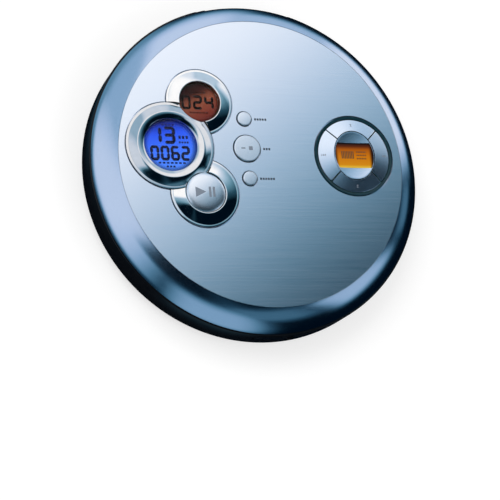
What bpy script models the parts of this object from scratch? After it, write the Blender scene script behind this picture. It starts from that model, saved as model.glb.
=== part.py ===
"""Portable disc player with a round hinged lid, built as an assembly of separate pieces.

Metres, +Z up. The player lies on its feet, with its origin on the ground under the spindle.
+X is to the right of the face as it is read, and +Y points to the hinge at the back.
"""
import math

import bmesh
import bpy
from mathutils import Matrix, Vector

# Fits
CLEARANCE = 0.0003            # gap between pieces that seat on or beside each other
CUT_OVERRUN = 0.0020          # how far a cut runs past the face that it opens
WELD = 0.00001                # vertices nearer than this are one
SMOOTH_ANGLE = math.radians(35)

# Segments of the round shapes
CASE_SEGMENTS = 60
POD_SEGMENTS = 36
BUTTON_SEGMENTS = 24
SMALL_SEGMENTS = 12
CURVE_STEPS = 5

# Case
CASE_WALL = 0.0017
CASE_FLOOR = 0.0011
EDGE_CURVE_RISE = 0.0063      # height of the rounded lower edge
EDGE_CURVE_INSET = 0.0090     # how far the flat underside lies inside the side band
RIM_CHAMFER = 0.0004
FOOT_STANDOFF = 0.0010        # how far the feet hold the underside up
FOOT_RADIUS = 0.0040
FOOT_POCKET = 0.0005
FOOT_EDGE_MARGIN = 0.0004     # from a foot to the edge of the flat underside
FOOT_BAY_MARGIN = 0.0040      # from a front foot to the wall round the cells
FOOT_REAR_BEARING = math.radians(60)

# Disc that the player is made for, which isn't part of it
DISC_RADIUS = 0.0600
DISC_THICKNESS = 0.0012
DISC_BORE_RADIUS = 0.0075
DISC_MARGIN = 0.0018          # from the disc's edge to the wall of its well
DISC_UNDER_GAP = 0.0014
DISC_OVER_GAP = 0.00165

# Deck that the disc lies over
DECK_THICKNESS = 0.0008
WELL_WALL = 0.0012
WELL_WALL_RISE = 0.0022
FLANGE_WIDTH = 0.0050         # from the wall of the well to the outer edge of the deck
LANDING_WIDTH = 0.0030
LANDING_RISE = 0.0004
HUB_HOLE_MARGIN = 0.0020
SLOT_HALF_WIDTH = 0.0070
FINGER_NOTCH_RADIUS = 0.0110
FINGER_NOTCH_PLACE_ANGLES = (math.radians(42), math.radians(-42))

# Screws that hold the deck in the case
SCREW_RING_INSET = 0.0150     # from the outside of the case to the screws
SCREW_BEARINGS = {
    "case_screw_rear": math.radians(45),
    "case_screw_front": math.radians(-33),
}
SCREW_RADIUS = 0.0010
SCREW_HEAD_RADIUS = 0.0022
SCREW_HEAD_HEIGHT = 0.0012
SCREW_HEAD_RECESS = 0.0003
SCREW_BOSS_OVERLAP = 0.0022   # length of screw inside the deck's boss
POST_RADIUS = 0.0036
BOSS_RADIUS = 0.0024
BOSS_LENGTH = 0.0034

# Lid shell and face
RIM_LEDGE = 0.0007            # black rim of the case that shows outside the lid
BEZEL_WIDTH = 0.0090
LID_WALL = 0.0014
LID_EDGE_WALL = 0.0024        # width of the edge that closes on the case
WEB_THICKNESS = 0.0008
PLATE_THICKNESS = 0.00085
BEZEL_SHOULDER_SHARES = (0.80, 0.30)
LINER_THICKNESS = 0.0006
LINER_RIM = 0.0008
LINER_BEAD_RADIUS = 0.0170    # ring under the lid round the hub of the drive
LINER_BEAD_WIDTH = 0.0016
LINER_BEAD_DROP = 0.0003
LINER_MARGIN = 0.0022         # from the liner to the inside of the lid
BOARD_THICKNESS = 0.0006

# Hinge
HINGE_INSET = 0.0038          # from the outside of the case to the pin
HINGE_DROP = 0.0025           # from the seam down to the pin
PIN_RADIUS = 0.0007
KNUCKLE_RADIUS = 0.0021
KNUCKLE_ARM = 0.0018          # from the pin forward to the front of the arms
CASE_KNUCKLE_HALF = 0.0077
LID_KNUCKLE_LENGTH = 0.0077
CASE_KNUCKLE_WEB_DROP = 0.0060
NOTCH_RELIEF_DEPTH = 0.0009
NOTCH_RELIEF_WIDTH = 0.0043
ARM_RISE = 0.0014             # how far the arms run up into the lid's wall

# Catch and open slider at the front
CATCH_X = -0.0140
CATCH_WIDTH = 0.0040
CATCH_REACH = 0.0040          # how far the catch hangs below the lid
CATCH_DEPTH = 0.0036
CATCH_WALL_GAP = 0.0008       # from the catch to the inside of the case
CATCH_NOSE = 0.0008
CATCH_NOSE_HEIGHT = 0.0010
SLIDER_HALF_WIDTH = 0.0070
SLIDER_HALF_HEIGHT = 0.0023
SLIDER_DROP = 0.0058          # from the seam down to the slider's middle
SLIDER_TRAVEL = 0.0030
SLIDER_RECESS = 0.0002
CARRIER_HALF_WIDTH = 0.0090
CARRIER_THICKNESS = 0.0010
CARRIER_INSET = 0.0031        # from the outside of the case to the front of the carrier
CARRIER_MARGIN = 0.0016
PAWL_LENGTH = 0.0019
PAWL_HEIGHT = 0.0007
PAWL_DEPTH = 0.0012

# Displays and play key, in a cluster of three round pods on the left of the face
MAIN_POD_RADIUS = 0.0180
MAIN_POD_EDGE_GAP = 0.0026    # from the main pod to the edge of the face
MAIN_POD_BEARING = math.radians(171.7)
MAIN_RING_WIDTH = 0.0074      # from the edge of the pod in to its window
POD_BITE = 0.0087             # how far the circles of two pods lie over each other
SMALL_POD_BEARING = math.radians(53.7)
SMALL_POD_RADIUS = 0.0137
SMALL_RING_WIDTH = 0.0055
PLAY_POD_BEARING = math.radians(-56.7)
PLAY_POD_RADIUS = 0.0140
PLAY_RING_WIDTH = 0.0060
POD_SUPPORT = 0.0022          # width of the web that each pod ring stands on
POD_LIP_WIDTH = 0.0009        # flat lip round the slope of the small display and the play key
POD_LIP_RISE = 0.0003
POD_LIP_STEP = 0.0002
MAIN_POD_STEP = 0.0012        # rise of the outer step over the face
MAIN_POD_CREST = 0.0019
MAIN_LENS_RISE = 0.0011
SMALL_POD_CREST = 0.0014
SMALL_LENS_RISE = 0.0003
PLAY_POD_CREST = 0.0014
PLAY_KEY_EDGE_RISE = 0.0010
PLAY_KEY_RISE = 0.0020
LENS_THICKNESS = 0.0006
MAIN_RIM_SHARE = 0.38         # share of the main ring's width that is its inner rim
MAIN_SHOULDER_SHARE = 0.65    # of the outer slope's width, out from the crest
POD_SHOULDER_SHARE = 0.85     # of the crest's height, half-way up the slope
DOME_SHOULDER_SHARES = (0.85, 1.05)   # of a key's radius and of its dome's height
OBJECTIVE_SHOULDER_SHARE = 0.80

# Small round keys, in a column beside the main pod
STOP_KEY_RADIUS = 0.0055
KEY_COLUMN_GAP = 0.0086       # from the main pod to the middle key
KEY_COLUMN_DROP = 0.0006      # from the middle of the pod down to the middle of the column
KEY_COLUMN_PITCH = 0.01255
SMALL_KEY_RADIUS = 0.0029
SMALL_KEY_RISE = 0.0004
KEY_DOME = 0.0003
KEY_TRAVEL = 0.0005
KEY_STOP_GAP = 0.0002         # what is left under a key that is pressed home

# Four-way pad on the right of the face
PAD_RADIUS = 0.0170
PAD_EDGE_GAP = 0.0035         # from the pad to the edge of the face
PAD_BEARING = math.radians(4.35)
PAD_SURROUND = 0.0011
PAD_KEY_WIDTH = 0.0056        # from the surround in to the hub
PAD_KEY_RISE = 0.0010         # of the keys at their inner edge
PAD_KEY_FALL = 0.0008         # from there down to their outer edge
PAD_SURROUND_RISE = 0.0002
PAD_TRIM_RISE = 0.0009
PAD_KEY_GAP = 0.0005
PAD_SIDE_KEY_EXTRA = 0.0015   # how much farther in the two side keys reach
PAD_WINDOW_MARGIN = 0.0005    # from the oval hub's edge to the round sides of the window
PAD_CAP_HEIGHT = 0.0049       # of the hub's cap over the window, and of the one under it
PAD_DISH = 0.0004
PAD_DISH_SHARES = ((0.93, 0.0), (0.50, 0.70), (0.0, 1.0))   # of the hub radius and the dish depth

# Cells and their bay
CELL_RADIUS = 0.00725
CELL_LENGTH = 0.0500
CELL_NUB_RADIUS = 0.0026
CELL_NUB_LENGTH = 0.0008
BAY_CHASSIS_GAP = 0.00195     # from the drive chassis to the wall round the cells
BAY_EDGE_MARGIN = 0.0084      # from the corners of that wall to the outside of the case
BAY_END_ROOM = 0.0034         # room for a contact at each end of the cells
BAY_WALL = 0.0012
BAY_WALL_HEIGHT = 0.0100
CONTACT_THICKNESS = 0.0005
CONTACT_HALF_HEIGHT = 0.0045
CONTACT_HALF_WIDTH = 0.0050
CONTACT_BUMP_RADIUS = 0.0028
DOOR_LIP = 0.0008
DOOR_END_LIP = 0.0014
TAB_X = 0.0180
TAB_WIDTH = 0.0050
TAB_THICKNESS = 0.0009
TAB_REACH = 0.0014
TAB_ROOT = 0.0014
TAB_SWING = 0.0015            # clear height over a tab for its swing

# Drive under the deck
CHASSIS_DROP = 0.0100         # from the deck down to the chassis plate
CHASSIS_THICKNESS = 0.0012
CHASSIS_SIDE_MARGIN = 0.0018  # from the brackets to the sides of the chassis
CHASSIS_MOTOR_MARGIN = 0.0050 # from the spindle motor to the end of the chassis
CHASSIS_WALL = 0.0012
CHASSIS_WALL_HEIGHT = 0.0070
CHASSIS_WINDOW_HALF_WIDTH = 0.0105
BRACKET_HALF_WIDTH = 0.0027
BRACKET_THICKNESS = 0.0020
DAMPER_RADIUS = 0.0030
DAMPER_WAIST = 0.0006
DAMPER_END_INSET = 0.0120     # from the end wall of the chassis to two of the dampers
DAMPER_SIDE_INSET = 0.0050
DAMPER_MOTOR_INSET = 0.0060   # from the other end of the chassis to the third
RAIL_Y = 0.0150
RAIL_RISE = 0.0043            # from the chassis plate up to the rails' centre
ROD_RADIUS = 0.0010
SCREW_THREAD_RADIUS = 0.0013
SCREW_THREAD_DEPTH = 0.0003
SCREW_PITCH = 0.0030
THREAD_ROWS = 4
THREAD_SEGMENTS = 8
SLED_HALF_LENGTH = 0.0045
SLED_BUSH_MARGIN = 0.0030     # from the rails' centres to the ends of the sled
SLED_HALF_HEIGHT = 0.0022
SLED_END_GAP = 0.0008
OPTIC_HALF_LENGTH = 0.0032
OPTIC_HALF_WIDTH = 0.0061
LENS_INNER_X = -0.0250        # where the lens rests, at the start of the disc's track
TRACK_EDGE_MARGIN = 0.0025    # from the end of the track to the edge of the disc
OBJECTIVE_RADIUS = 0.0025
OBJECTIVE_WELL = 0.0006
OBJECTIVE_RISE = 0.0005
SLED_MOTOR_RADIUS = 0.0036
SLED_MOTOR_LENGTH = 0.0130
SPINDLE_MOTOR_RADIUS = 0.0090
SPINDLE_MOTOR_HEIGHT = 0.0060
SPINDLE_NECK_RADIUS = 0.0040
SPINDLE_NECK_HEIGHT = 0.0020
SPINDLE_SHAFT_RADIUS = 0.0010
SPINDLE_SHAFT_SEAT = 0.0020
ROTOR_BOSS_RADIUS = 0.0055
TURNTABLE_RADIUS = 0.0145
TURNTABLE_THICKNESS = 0.0012
HUB_PLAY = 0.0002             # hub inside the disc's bore
HUB_HEIGHT = 0.0022
HUB_CHAMFER = 0.0007
GRIP_RADIUS = 0.0009
GRIP_COUNT = 3

# Main board and the sockets that it carries
BOARD_DROP = 0.0110           # from the deck down to the board
MAIN_BOARD_THICKNESS = 0.0012
BOARD_CHASSIS_GAP = 0.0030
BOARD_BAY_GAP = 0.00245
BOARD_REAR_GAP = 0.0045       # from the chassis to the arm of the board behind it
BOARD_REAR_LEFT_X = -0.0100
BOARD_EDGE_INSET = 0.0052     # from the outside of the case to the board's round edge
BOARD_ARC_STEPS = 10
BOARD_POST_RADIUS = 0.0020
BOARD_POST_INSET = 0.0061     # from the board's round edge to two of its posts
BOARD_POST_BEARINGS = (math.radians(29.6), math.radians(83))
CORNER_POST_INSET_X = 0.0130  # from the board's straight edges to the third
CORNER_POST_INSET_Y = 0.0070
CHIP_HEIGHT = 0.0014
CHIP_PLACES = ((0.0300, 0.0060, 0.0075), (0.0240, 0.0400, 0.0055), (0.0460, 0.0110, 0.0040))
CAPACITOR_RADIUS = 0.0030
CAPACITOR_HEIGHT = 0.0070
CAPACITOR_X = 0.0080
CAPACITOR_Y = 0.0370
SOCKET_Y = 0.0160
SOCKET_BODY_HALF = 0.0042
SOCKET_LENGTH = 0.0110
SOCKET_BARREL_RADIUS = 0.0030
SOCKET_BARREL_LENGTH = 0.0030
SOCKET_EDGE_INSET = 0.0024
PHONES_BORE_RADIUS = 0.0018
PHONES_BORE_DEPTH = 0.0110
SUPPLY_BORE_RADIUS = 0.0024
SUPPLY_PIN_RADIUS = 0.0006
SUPPLY_BORE_DEPTH = 0.0080
SUPPLY_PIN_RECESS = 0.0012

# Hold switch on the right-hand side
HOLD_TRAVEL = 0.0030
HOLD_KNOB_HALF_WIDTH = 0.0016
HOLD_KNOB_HALF_HEIGHT = 0.0011
HOLD_BACK_HALF_WIDTH = 0.0052
HOLD_BACK_HALF_HEIGHT = 0.0026
HOLD_BACK_THICKNESS = 0.0010
HOLD_INSET = 0.0026
HOLD_RECESS = 0.0002
HOLD_DROP = 0.0071            # from the seam down to the switch

# Heights, from the ground up
FLOOR_BOTTOM = FOOT_STANDOFF
FLOOR_TOP = FLOOR_BOTTOM + CASE_FLOOR
BAND_BOTTOM = FLOOR_BOTTOM + EDGE_CURVE_RISE
CELL_Z = FLOOR_TOP + CLEARANCE + CELL_RADIUS
DECK_BOTTOM = CELL_Z + CELL_RADIUS + CLEARANCE
DECK_TOP = DECK_BOTTOM + DECK_THICKNESS
SEAM_Z = DECK_TOP + CLEARANCE
LID_EDGE_Z = SEAM_Z + CLEARANCE
DISC_SEAT_Z = DECK_TOP + DISC_UNDER_GAP
LINER_BOTTOM = DISC_SEAT_Z + DISC_THICKNESS + DISC_OVER_GAP
LINER_TOP = LINER_BOTTOM + LINER_THICKNESS
BOARD_BOTTOM = LINER_TOP + CLEARANCE
BOARD_TOP = BOARD_BOTTOM + BOARD_THICKNESS
WEB_BOTTOM = BOARD_TOP + CLEARANCE
WEB_TOP = WEB_BOTTOM + WEB_THICKNESS
PLATE_BOTTOM = WEB_TOP + CLEARANCE
FACE_Z = PLATE_BOTTOM + PLATE_THICKNESS
KEY_BOTTOM = BOARD_TOP + KEY_TRAVEL + KEY_STOP_GAP
CHASSIS_TOP = DECK_BOTTOM - CHASSIS_DROP
CHASSIS_BOTTOM = CHASSIS_TOP - CHASSIS_THICKNESS
RAIL_Z = CHASSIS_TOP + RAIL_RISE
MAIN_BOARD_TOP = DECK_BOTTOM - BOARD_DROP
MAIN_BOARD_BOTTOM = MAIN_BOARD_TOP - MAIN_BOARD_THICKNESS

# Places of the cells and the drive
CHASSIS_HALF_WIDTH = RAIL_Y + BRACKET_HALF_WIDTH + CHASSIS_SIDE_MARGIN
CHASSIS_FRONT_X = SPINDLE_MOTOR_RADIUS + CHASSIS_MOTOR_MARGIN
SLED_HALF_WIDTH = RAIL_Y + SLED_BUSH_MARGIN
LENS_OUTER_X = TRACK_EDGE_MARGIN - DISC_RADIUS
SLED_OUTER_EDGE_X = LENS_OUTER_X - SLED_HALF_LENGTH
CHASSIS_WALL_X = SLED_OUTER_EDGE_X - SLED_END_GAP
CHASSIS_REAR_X = CHASSIS_WALL_X - CHASSIS_WALL
BAY_HALF_LENGTH = CELL_LENGTH / 2 + CELL_NUB_LENGTH / 2 + BAY_END_ROOM
BAY_HALF_DEPTH = 2 * CELL_RADIUS + CLEARANCE + CLEARANCE / 2
BAY_OUTER_X = BAY_HALF_LENGTH + BAY_WALL
BAY_OUTER_DEPTH = BAY_HALF_DEPTH + BAY_WALL
BAY_Y = -CHASSIS_HALF_WIDTH - BAY_CHASSIS_GAP - BAY_OUTER_DEPTH
DOOR_HALF_LENGTH = BAY_HALF_LENGTH - DOOR_END_LIP - CLEARANCE
DOOR_HALF_DEPTH = BAY_HALF_DEPTH - DOOR_LIP - CLEARANCE
DOOR_HINGE_Y = BAY_Y + DOOR_HALF_DEPTH

# The case is as wide as the disc in its well or the cells in their bay need it to be
WELL_RADIUS = DISC_RADIUS + DISC_MARGIN
RADIUS_ROUND_DISC = WELL_RADIUS + WELL_WALL + FLANGE_WIDTH + CLEARANCE + CASE_WALL
RADIUS_ROUND_BAY = math.hypot(BAY_OUTER_X, BAY_OUTER_DEPTH - BAY_Y) + BAY_EDGE_MARGIN
CASE_RADIUS = max(RADIUS_ROUND_DISC, RADIUS_ROUND_BAY)
CASE_INNER_RADIUS = CASE_RADIUS - CASE_WALL
LID_EDGE_RADIUS = CASE_RADIUS - RIM_LEDGE
POCKET_RADIUS = LID_EDGE_RADIUS - BEZEL_WIDTH
FACE_RADIUS = POCKET_RADIUS - CLEARANCE
LID_INNER_RADIUS = LID_EDGE_RADIUS - LID_EDGE_WALL
FLANGE_RADIUS = CASE_INNER_RADIUS - CLEARANCE
FOOT_RING = CASE_RADIUS - EDGE_CURVE_INSET - FOOT_EDGE_MARGIN - FOOT_RADIUS
FRONT_FOOT_X = BAY_OUTER_X + FOOT_BAY_MARGIN + FOOT_RADIUS
SCREW_RING = CASE_RADIUS - SCREW_RING_INSET

# Hinge, and the levels of the controls in the side band
HINGE_Y = CASE_RADIUS - HINGE_INSET
HINGE_Z = SEAM_Z - HINGE_DROP
LID_KNUCKLE_START = CASE_KNUCKLE_HALF + CLEARANCE
LID_KNUCKLE_END = LID_KNUCKLE_START + LID_KNUCKLE_LENGTH
NOTCH_HALF = LID_KNUCKLE_END + CLEARANCE
SLIDER_Z = SEAM_Z - SLIDER_DROP
HOLD_Z = SEAM_Z - HOLD_DROP
SOCKET_Z = MAIN_BOARD_TOP + CLEARANCE + SOCKET_BODY_HALF

# Places and radii on the face
MAIN_LENS_RADIUS = MAIN_POD_RADIUS - MAIN_RING_WIDTH
SMALL_LENS_RADIUS = SMALL_POD_RADIUS - SMALL_RING_WIDTH
PLAY_KEY_RADIUS = PLAY_POD_RADIUS - PLAY_RING_WIDTH
MAIN_POD_REACH = FACE_RADIUS - MAIN_POD_EDGE_GAP - MAIN_POD_RADIUS
MAIN_POD_X = MAIN_POD_REACH * math.cos(MAIN_POD_BEARING)
MAIN_POD_Y = MAIN_POD_REACH * math.sin(MAIN_POD_BEARING)
SMALL_POD_REACH = MAIN_POD_RADIUS + SMALL_POD_RADIUS - POD_BITE
SMALL_POD_X = MAIN_POD_X + SMALL_POD_REACH * math.cos(SMALL_POD_BEARING)
SMALL_POD_Y = MAIN_POD_Y + SMALL_POD_REACH * math.sin(SMALL_POD_BEARING)
PLAY_POD_REACH = MAIN_POD_RADIUS + PLAY_POD_RADIUS - POD_BITE
PLAY_POD_X = MAIN_POD_X + PLAY_POD_REACH * math.cos(PLAY_POD_BEARING)
PLAY_POD_Y = MAIN_POD_Y + PLAY_POD_REACH * math.sin(PLAY_POD_BEARING)
KEY_COLUMN_X = MAIN_POD_X + MAIN_POD_RADIUS + KEY_COLUMN_GAP + STOP_KEY_RADIUS
STOP_KEY_Y = MAIN_POD_Y - KEY_COLUMN_DROP
BASS_KEY_Y = STOP_KEY_Y + KEY_COLUMN_PITCH
SKIP_KEY_Y = STOP_KEY_Y - KEY_COLUMN_PITCH
PAD_REACH = FACE_RADIUS - PAD_EDGE_GAP - PAD_RADIUS
PAD_X = PAD_REACH * math.cos(PAD_BEARING)
PAD_Y = PAD_REACH * math.sin(PAD_BEARING)
PAD_HUB_RADIUS = PAD_RADIUS - PAD_SURROUND - PAD_KEY_WIDTH
PAD_HUB_HALF_WIDTH = PAD_HUB_RADIUS - PAD_SIDE_KEY_EXTRA
PAD_WINDOW_HALF_HEIGHT = PAD_HUB_RADIUS - PAD_CAP_HEIGHT

# Main board
BOARD_LEFT_X = CHASSIS_FRONT_X + BOARD_CHASSIS_GAP
BOARD_FRONT_Y = BOARD_BAY_GAP - CHASSIS_HALF_WIDTH - BAY_CHASSIS_GAP
BOARD_REAR_Y = CHASSIS_HALF_WIDTH + BOARD_REAR_GAP
BOARD_RADIUS = CASE_RADIUS - BOARD_EDGE_INSET
BOARD_POST_RING = BOARD_RADIUS - BOARD_POST_INSET

ORIGIN = Vector((0.0, 0.0, 0.0))
LID_AXIS = Vector((0.0, HINGE_Y, HINGE_Z))


def clear_scene():
    for old in list(bpy.data.objects):
        bpy.data.objects.remove(old, do_unlink=True)


def make_material(name, colour, roughness, metallic=0.0):
    material = bpy.data.materials.new(name)
    material.use_nodes = True
    shader = material.node_tree.nodes["Principled BSDF"]
    shader.inputs["Base Color"].default_value = (*colour, 1.0)
    shader.inputs["Roughness"].default_value = roughness
    shader.inputs["Metallic"].default_value = metallic
    return material


def make_materials():
    """One colour, roughness and metallic value for each kind of surface on the player."""
    return {
        "band": make_material("black side band", (0.010, 0.011, 0.014), 0.22),
        "bezel": make_material("silver blue bezel", (0.42, 0.53, 0.64), 0.22, 1.0),
        "face": make_material("brushed aluminium", (0.66, 0.72, 0.84), 0.32, 1.0),
        "chrome": make_material("polished chrome", (0.78, 0.80, 0.83), 0.08, 1.0),
        "key": make_material("silver key", (0.72, 0.77, 0.86), 0.28, 1.0),
        "teal": make_material("dark teal surround", (0.020, 0.075, 0.095), 0.35),
        "amber": make_material("amber window", (0.80, 0.34, 0.03), 0.12),
        "glass": make_material("clear window", (0.55, 0.60, 0.75), 0.05),
        "blue_cell": make_material("blue display", (0.06, 0.14, 0.85), 0.30),
        "copper_cell": make_material("copper display", (0.48, 0.20, 0.10), 0.30),
        "black": make_material("black moulding", (0.025, 0.026, 0.030), 0.45),
        "deck": make_material("dark grey moulding", (0.060, 0.064, 0.072), 0.50),
        "steel": make_material("steel", (0.56, 0.57, 0.58), 0.28, 1.0),
        "rubber": make_material("black rubber", (0.020, 0.020, 0.021), 0.85),
        "board": make_material("green circuit board", (0.035, 0.16, 0.060), 0.50),
        "sled": make_material("pickup moulding", (0.085, 0.090, 0.100), 0.45),
        "objective": make_material("coated lens", (0.10, 0.12, 0.30), 0.05),
        "cell": make_material("cell sleeve", (0.55, 0.30, 0.07), 0.35),
        "contact": make_material("nickel contact", (0.62, 0.60, 0.55), 0.30, 1.0),
    }


def revolve(profile, segments, centre=(0.0, 0.0)):
    """Turn a profile of (radius, height) points about a vertical line through centre.

    A profile that starts and ends on the axis stays open there, and any other closes on itself.
    """
    bm = bmesh.new()
    verts = [bm.verts.new((radius, 0.0, height)) for radius, height in profile]
    edges = [bm.edges.new(pair) for pair in zip(verts, verts[1:])]
    if profile[0][0] > 0.0 or profile[-1][0] > 0.0:
        edges.append(bm.edges.new((verts[-1], verts[0])))
    bmesh.ops.spin(bm, geom=verts + edges, cent=ORIGIN, axis=(0.0, 0.0, 1.0), dvec=ORIGIN,
                   angle=math.tau, steps=segments, use_merge=True, use_duplicate=False)
    bmesh.ops.remove_doubles(bm, verts=bm.verts, dist=WELD)
    bmesh.ops.dissolve_degenerate(bm, edges=bm.edges, dist=WELD)
    flat_caps = [v for v in bm.verts if math.hypot(v.co.x, v.co.y) < WELD
                 and all(abs(e.other_vert(v).co.z - v.co.z) < WELD for e in v.link_edges)]
    bmesh.ops.dissolve_verts(bm, verts=flat_caps)
    bmesh.ops.recalc_face_normals(bm, faces=bm.faces)
    bmesh.ops.translate(bm, verts=bm.verts, vec=(centre[0], centre[1], 0.0))
    return bm


def disc(radius, low, high, segments, centre=(0.0, 0.0)):
    """A plain round slab."""
    return revolve([(0.0, low), (radius, low), (radius, high), (0.0, high)], segments, centre)


def rod_x(radius, start, end, y, z, segments=SMALL_SEGMENTS):
    """A round bar along X."""
    bm = bmesh.new()
    turn = Matrix.Rotation(math.pi / 2, 4, "Y")
    place = Matrix.Translation(((start + end) / 2, y, z)) @ turn
    bmesh.ops.create_cone(bm, cap_ends=True, segments=segments, radius1=radius, radius2=radius,
                          depth=abs(end - start), matrix=place)
    return bm


def box(x0, x1, y0, y1, z0, z1):
    bm = bmesh.new()
    size = Matrix.Diagonal((abs(x1 - x0), abs(y1 - y0), abs(z1 - z0), 1.0))
    middle = Matrix.Translation(((x0 + x1) / 2, (y0 + y1) / 2, (z0 + z1) / 2))
    bmesh.ops.create_cube(bm, size=1.0, matrix=middle @ size)
    return bm


def prism(outline, low, high):
    """Extrude a closed outline of (x, y) points upward."""
    bm = bmesh.new()
    face = bm.faces.new([bm.verts.new((x, y, low)) for x, y in outline])
    grown = bmesh.ops.extrude_face_region(bm, geom=[face])
    top = [item for item in grown["geom"] if isinstance(item, bmesh.types.BMVert)]
    bmesh.ops.translate(bm, verts=top, vec=(0.0, 0.0, high - low))
    bmesh.ops.recalc_face_normals(bm, faces=bm.faces)
    return bm


def arc_points(radius, start, end, steps, centre=(0.0, 0.0)):
    """Points along an arc, both ends included."""
    turns = [start + (end - start) * i / steps for i in range(steps + 1)]
    return [(centre[0] + radius * math.cos(a), centre[1] + radius * math.sin(a)) for a in turns]


def bend(start, corner, end, steps=CURVE_STEPS):
    """Points along a curve that leaves start and meets end while leaning toward corner."""
    points = []
    for i in range(steps + 1):
        t = i / steps
        a, b, c = (1 - t) ** 2, 2 * t * (1 - t), t ** 2
        points.append(tuple(a * s + b * k + c * e for s, k, e in zip(start, corner, end)))
    return points


def ellipse_quarter(centre, half_width, half_height, steps=CURVE_STEPS):
    """Points of a lower quarter ellipse, from straight below its centre out to its side."""
    turns = [math.pi / 2 * i / steps for i in range(steps + 1)]
    return [(centre[0] + half_width * math.sin(a), centre[1] - half_height * math.cos(a))
            for a in turns]


def add_object(bm, name, material, origin=ORIGIN):
    """Turn a finished mesh into a named object whose own origin lies at origin."""
    bmesh.ops.translate(bm, verts=bm.verts, vec=-origin)
    mesh = bpy.data.meshes.new(name)
    bm.to_mesh(mesh)
    bm.free()
    mesh.materials.append(material)
    mesh.shade_smooth()
    mesh.set_sharp_from_angle(angle=SMOOTH_ANGLE)
    piece = bpy.data.objects.new(name, mesh)
    piece.location = origin
    bpy.context.scene.collection.objects.link(piece)
    return piece


def shape_with(piece, bm, label, operation):
    """Cut, join or trim a piece with a hidden tool body."""
    mesh = bpy.data.meshes.new(label)
    bm.to_mesh(mesh)
    bm.free()
    tool = bpy.data.objects.new(label, mesh)
    tool.hide_render = True
    tool.display_type = "WIRE"
    bpy.context.scene.collection.objects.link(tool)
    step = piece.modifiers.new(label, "BOOLEAN")
    step.operation = operation
    step.solver = "EXACT"
    step.object = tool
    return piece


def cut(piece, bm, label):
    return shape_with(piece, bm, label, "DIFFERENCE")


def fuse(piece, bm, label):
    return shape_with(piece, bm, label, "UNION")


def carry(pieces, name, axis_point):
    """Parent pieces to an empty on the axis that they turn about."""
    holder = bpy.data.objects.new(name, None)
    holder.location = axis_point
    bpy.context.scene.collection.objects.link(holder)
    for piece in pieces:
        piece.parent = holder
        piece.matrix_parent_inverse = Matrix.Translation(-axis_point)
    return holder


def chord_y(radius, x):
    """Height above the X axis of a circle about the origin, at x."""
    return math.sqrt(radius ** 2 - x ** 2)


def mirrored(name, x, y):
    """One place on each side of the player."""
    return {name + "_right": (x, y), name + "_left": (-x, y)}


def foot_places():
    """Two feet at the back and two beside the cells, all near the edge of the underside."""
    rear_x = FOOT_RING * math.cos(FOOT_REAR_BEARING)
    rear_y = FOOT_RING * math.sin(FOOT_REAR_BEARING)
    return {**mirrored("foot_rear", rear_x, rear_y),
            **mirrored("foot_front", FRONT_FOOT_X, -chord_y(FOOT_RING, FRONT_FOOT_X))}


def screw_places():
    places = {}
    for name, bearing in SCREW_BEARINGS.items():
        x, y = SCREW_RING * math.cos(bearing), SCREW_RING * math.sin(bearing)
        places.update(mirrored(name, x, y))
    return places


def board_post_places():
    """One post near the board's square corner and two near its round edge."""
    corner = (BOARD_LEFT_X + CORNER_POST_INSET_X, BOARD_FRONT_Y + CORNER_POST_INSET_Y)
    ring = [(BOARD_POST_RING * math.cos(turn), BOARD_POST_RING * math.sin(turn))
            for turn in BOARD_POST_BEARINGS]
    return [corner] + ring


def damper_places():
    """Two dampers near the end wall of the chassis and one near the spindle motor."""
    end_x = CHASSIS_REAR_X + DAMPER_END_INSET
    side_y = CHASSIS_HALF_WIDTH - DAMPER_SIDE_INSET
    return [(end_x, -side_y), (end_x, side_y), (CHASSIS_FRONT_X - DAMPER_MOTOR_INSET, 0.0)]


def rim_block(x0, x1, inner_y, radius, low, high, side=1.0, steps=4):
    """A block whose outer face follows a circle about the spindle, at the back or front."""
    xs = [x1 + (x0 - x1) * i / steps for i in range(steps + 1)]
    outline = [(x0, side * inner_y), (x1, side * inner_y)]
    outline += [(x, side * chord_y(radius, x)) for x in xs]
    return prism(outline, low, high)


def case_profile():
    """Section of the case, from the middle of its underside round to its floor."""
    corner_radius = CASE_RADIUS - EDGE_CURVE_INSET
    outside = ellipse_quarter((corner_radius, BAND_BOTTOM), EDGE_CURVE_INSET, EDGE_CURVE_RISE, 4)
    inset = CASE_INNER_RADIUS - corner_radius
    inside = ellipse_quarter((corner_radius, BAND_BOTTOM), inset, BAND_BOTTOM - FLOOR_TOP, 3)
    rim = [(CASE_RADIUS, SEAM_Z - RIM_CHAMFER), (CASE_RADIUS - RIM_CHAMFER, SEAM_Z),
           (CASE_INNER_RADIUS, SEAM_Z)]
    return [(0.0, FLOOR_BOTTOM)] + outside + rim + inside[::-1] + [(0.0, FLOOR_TOP)]


def bay_walls():
    """The four walls round the cells, as one closed frame that stands in the floor."""
    low = FLOOR_BOTTOM + CASE_FLOOR / 2
    high = FLOOR_TOP + BAY_WALL_HEIGHT
    signs = ((-1, -1), (1, -1), (1, 1), (-1, 1))
    bm = bmesh.new()
    rings = []
    for half_x, half_y in ((BAY_OUTER_X, BAY_OUTER_DEPTH), (BAY_HALF_LENGTH, BAY_HALF_DEPTH)):
        for z in (low, high):
            rings.append([bm.verts.new((sx * half_x, BAY_Y + sy * half_y, z)) for sx, sy in signs])
    outer_low, outer_high, inner_low, inner_high = rings
    for a, b in ((outer_low, outer_high), (outer_high, inner_high),
                 (inner_high, inner_low), (inner_low, outer_low)):
        for i in range(4):
            j = (i + 1) % 4
            bm.faces.new((a[i], a[j], b[j], b[i]))
    bmesh.ops.recalc_face_normals(bm, faces=bm.faces)
    return bm


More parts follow.
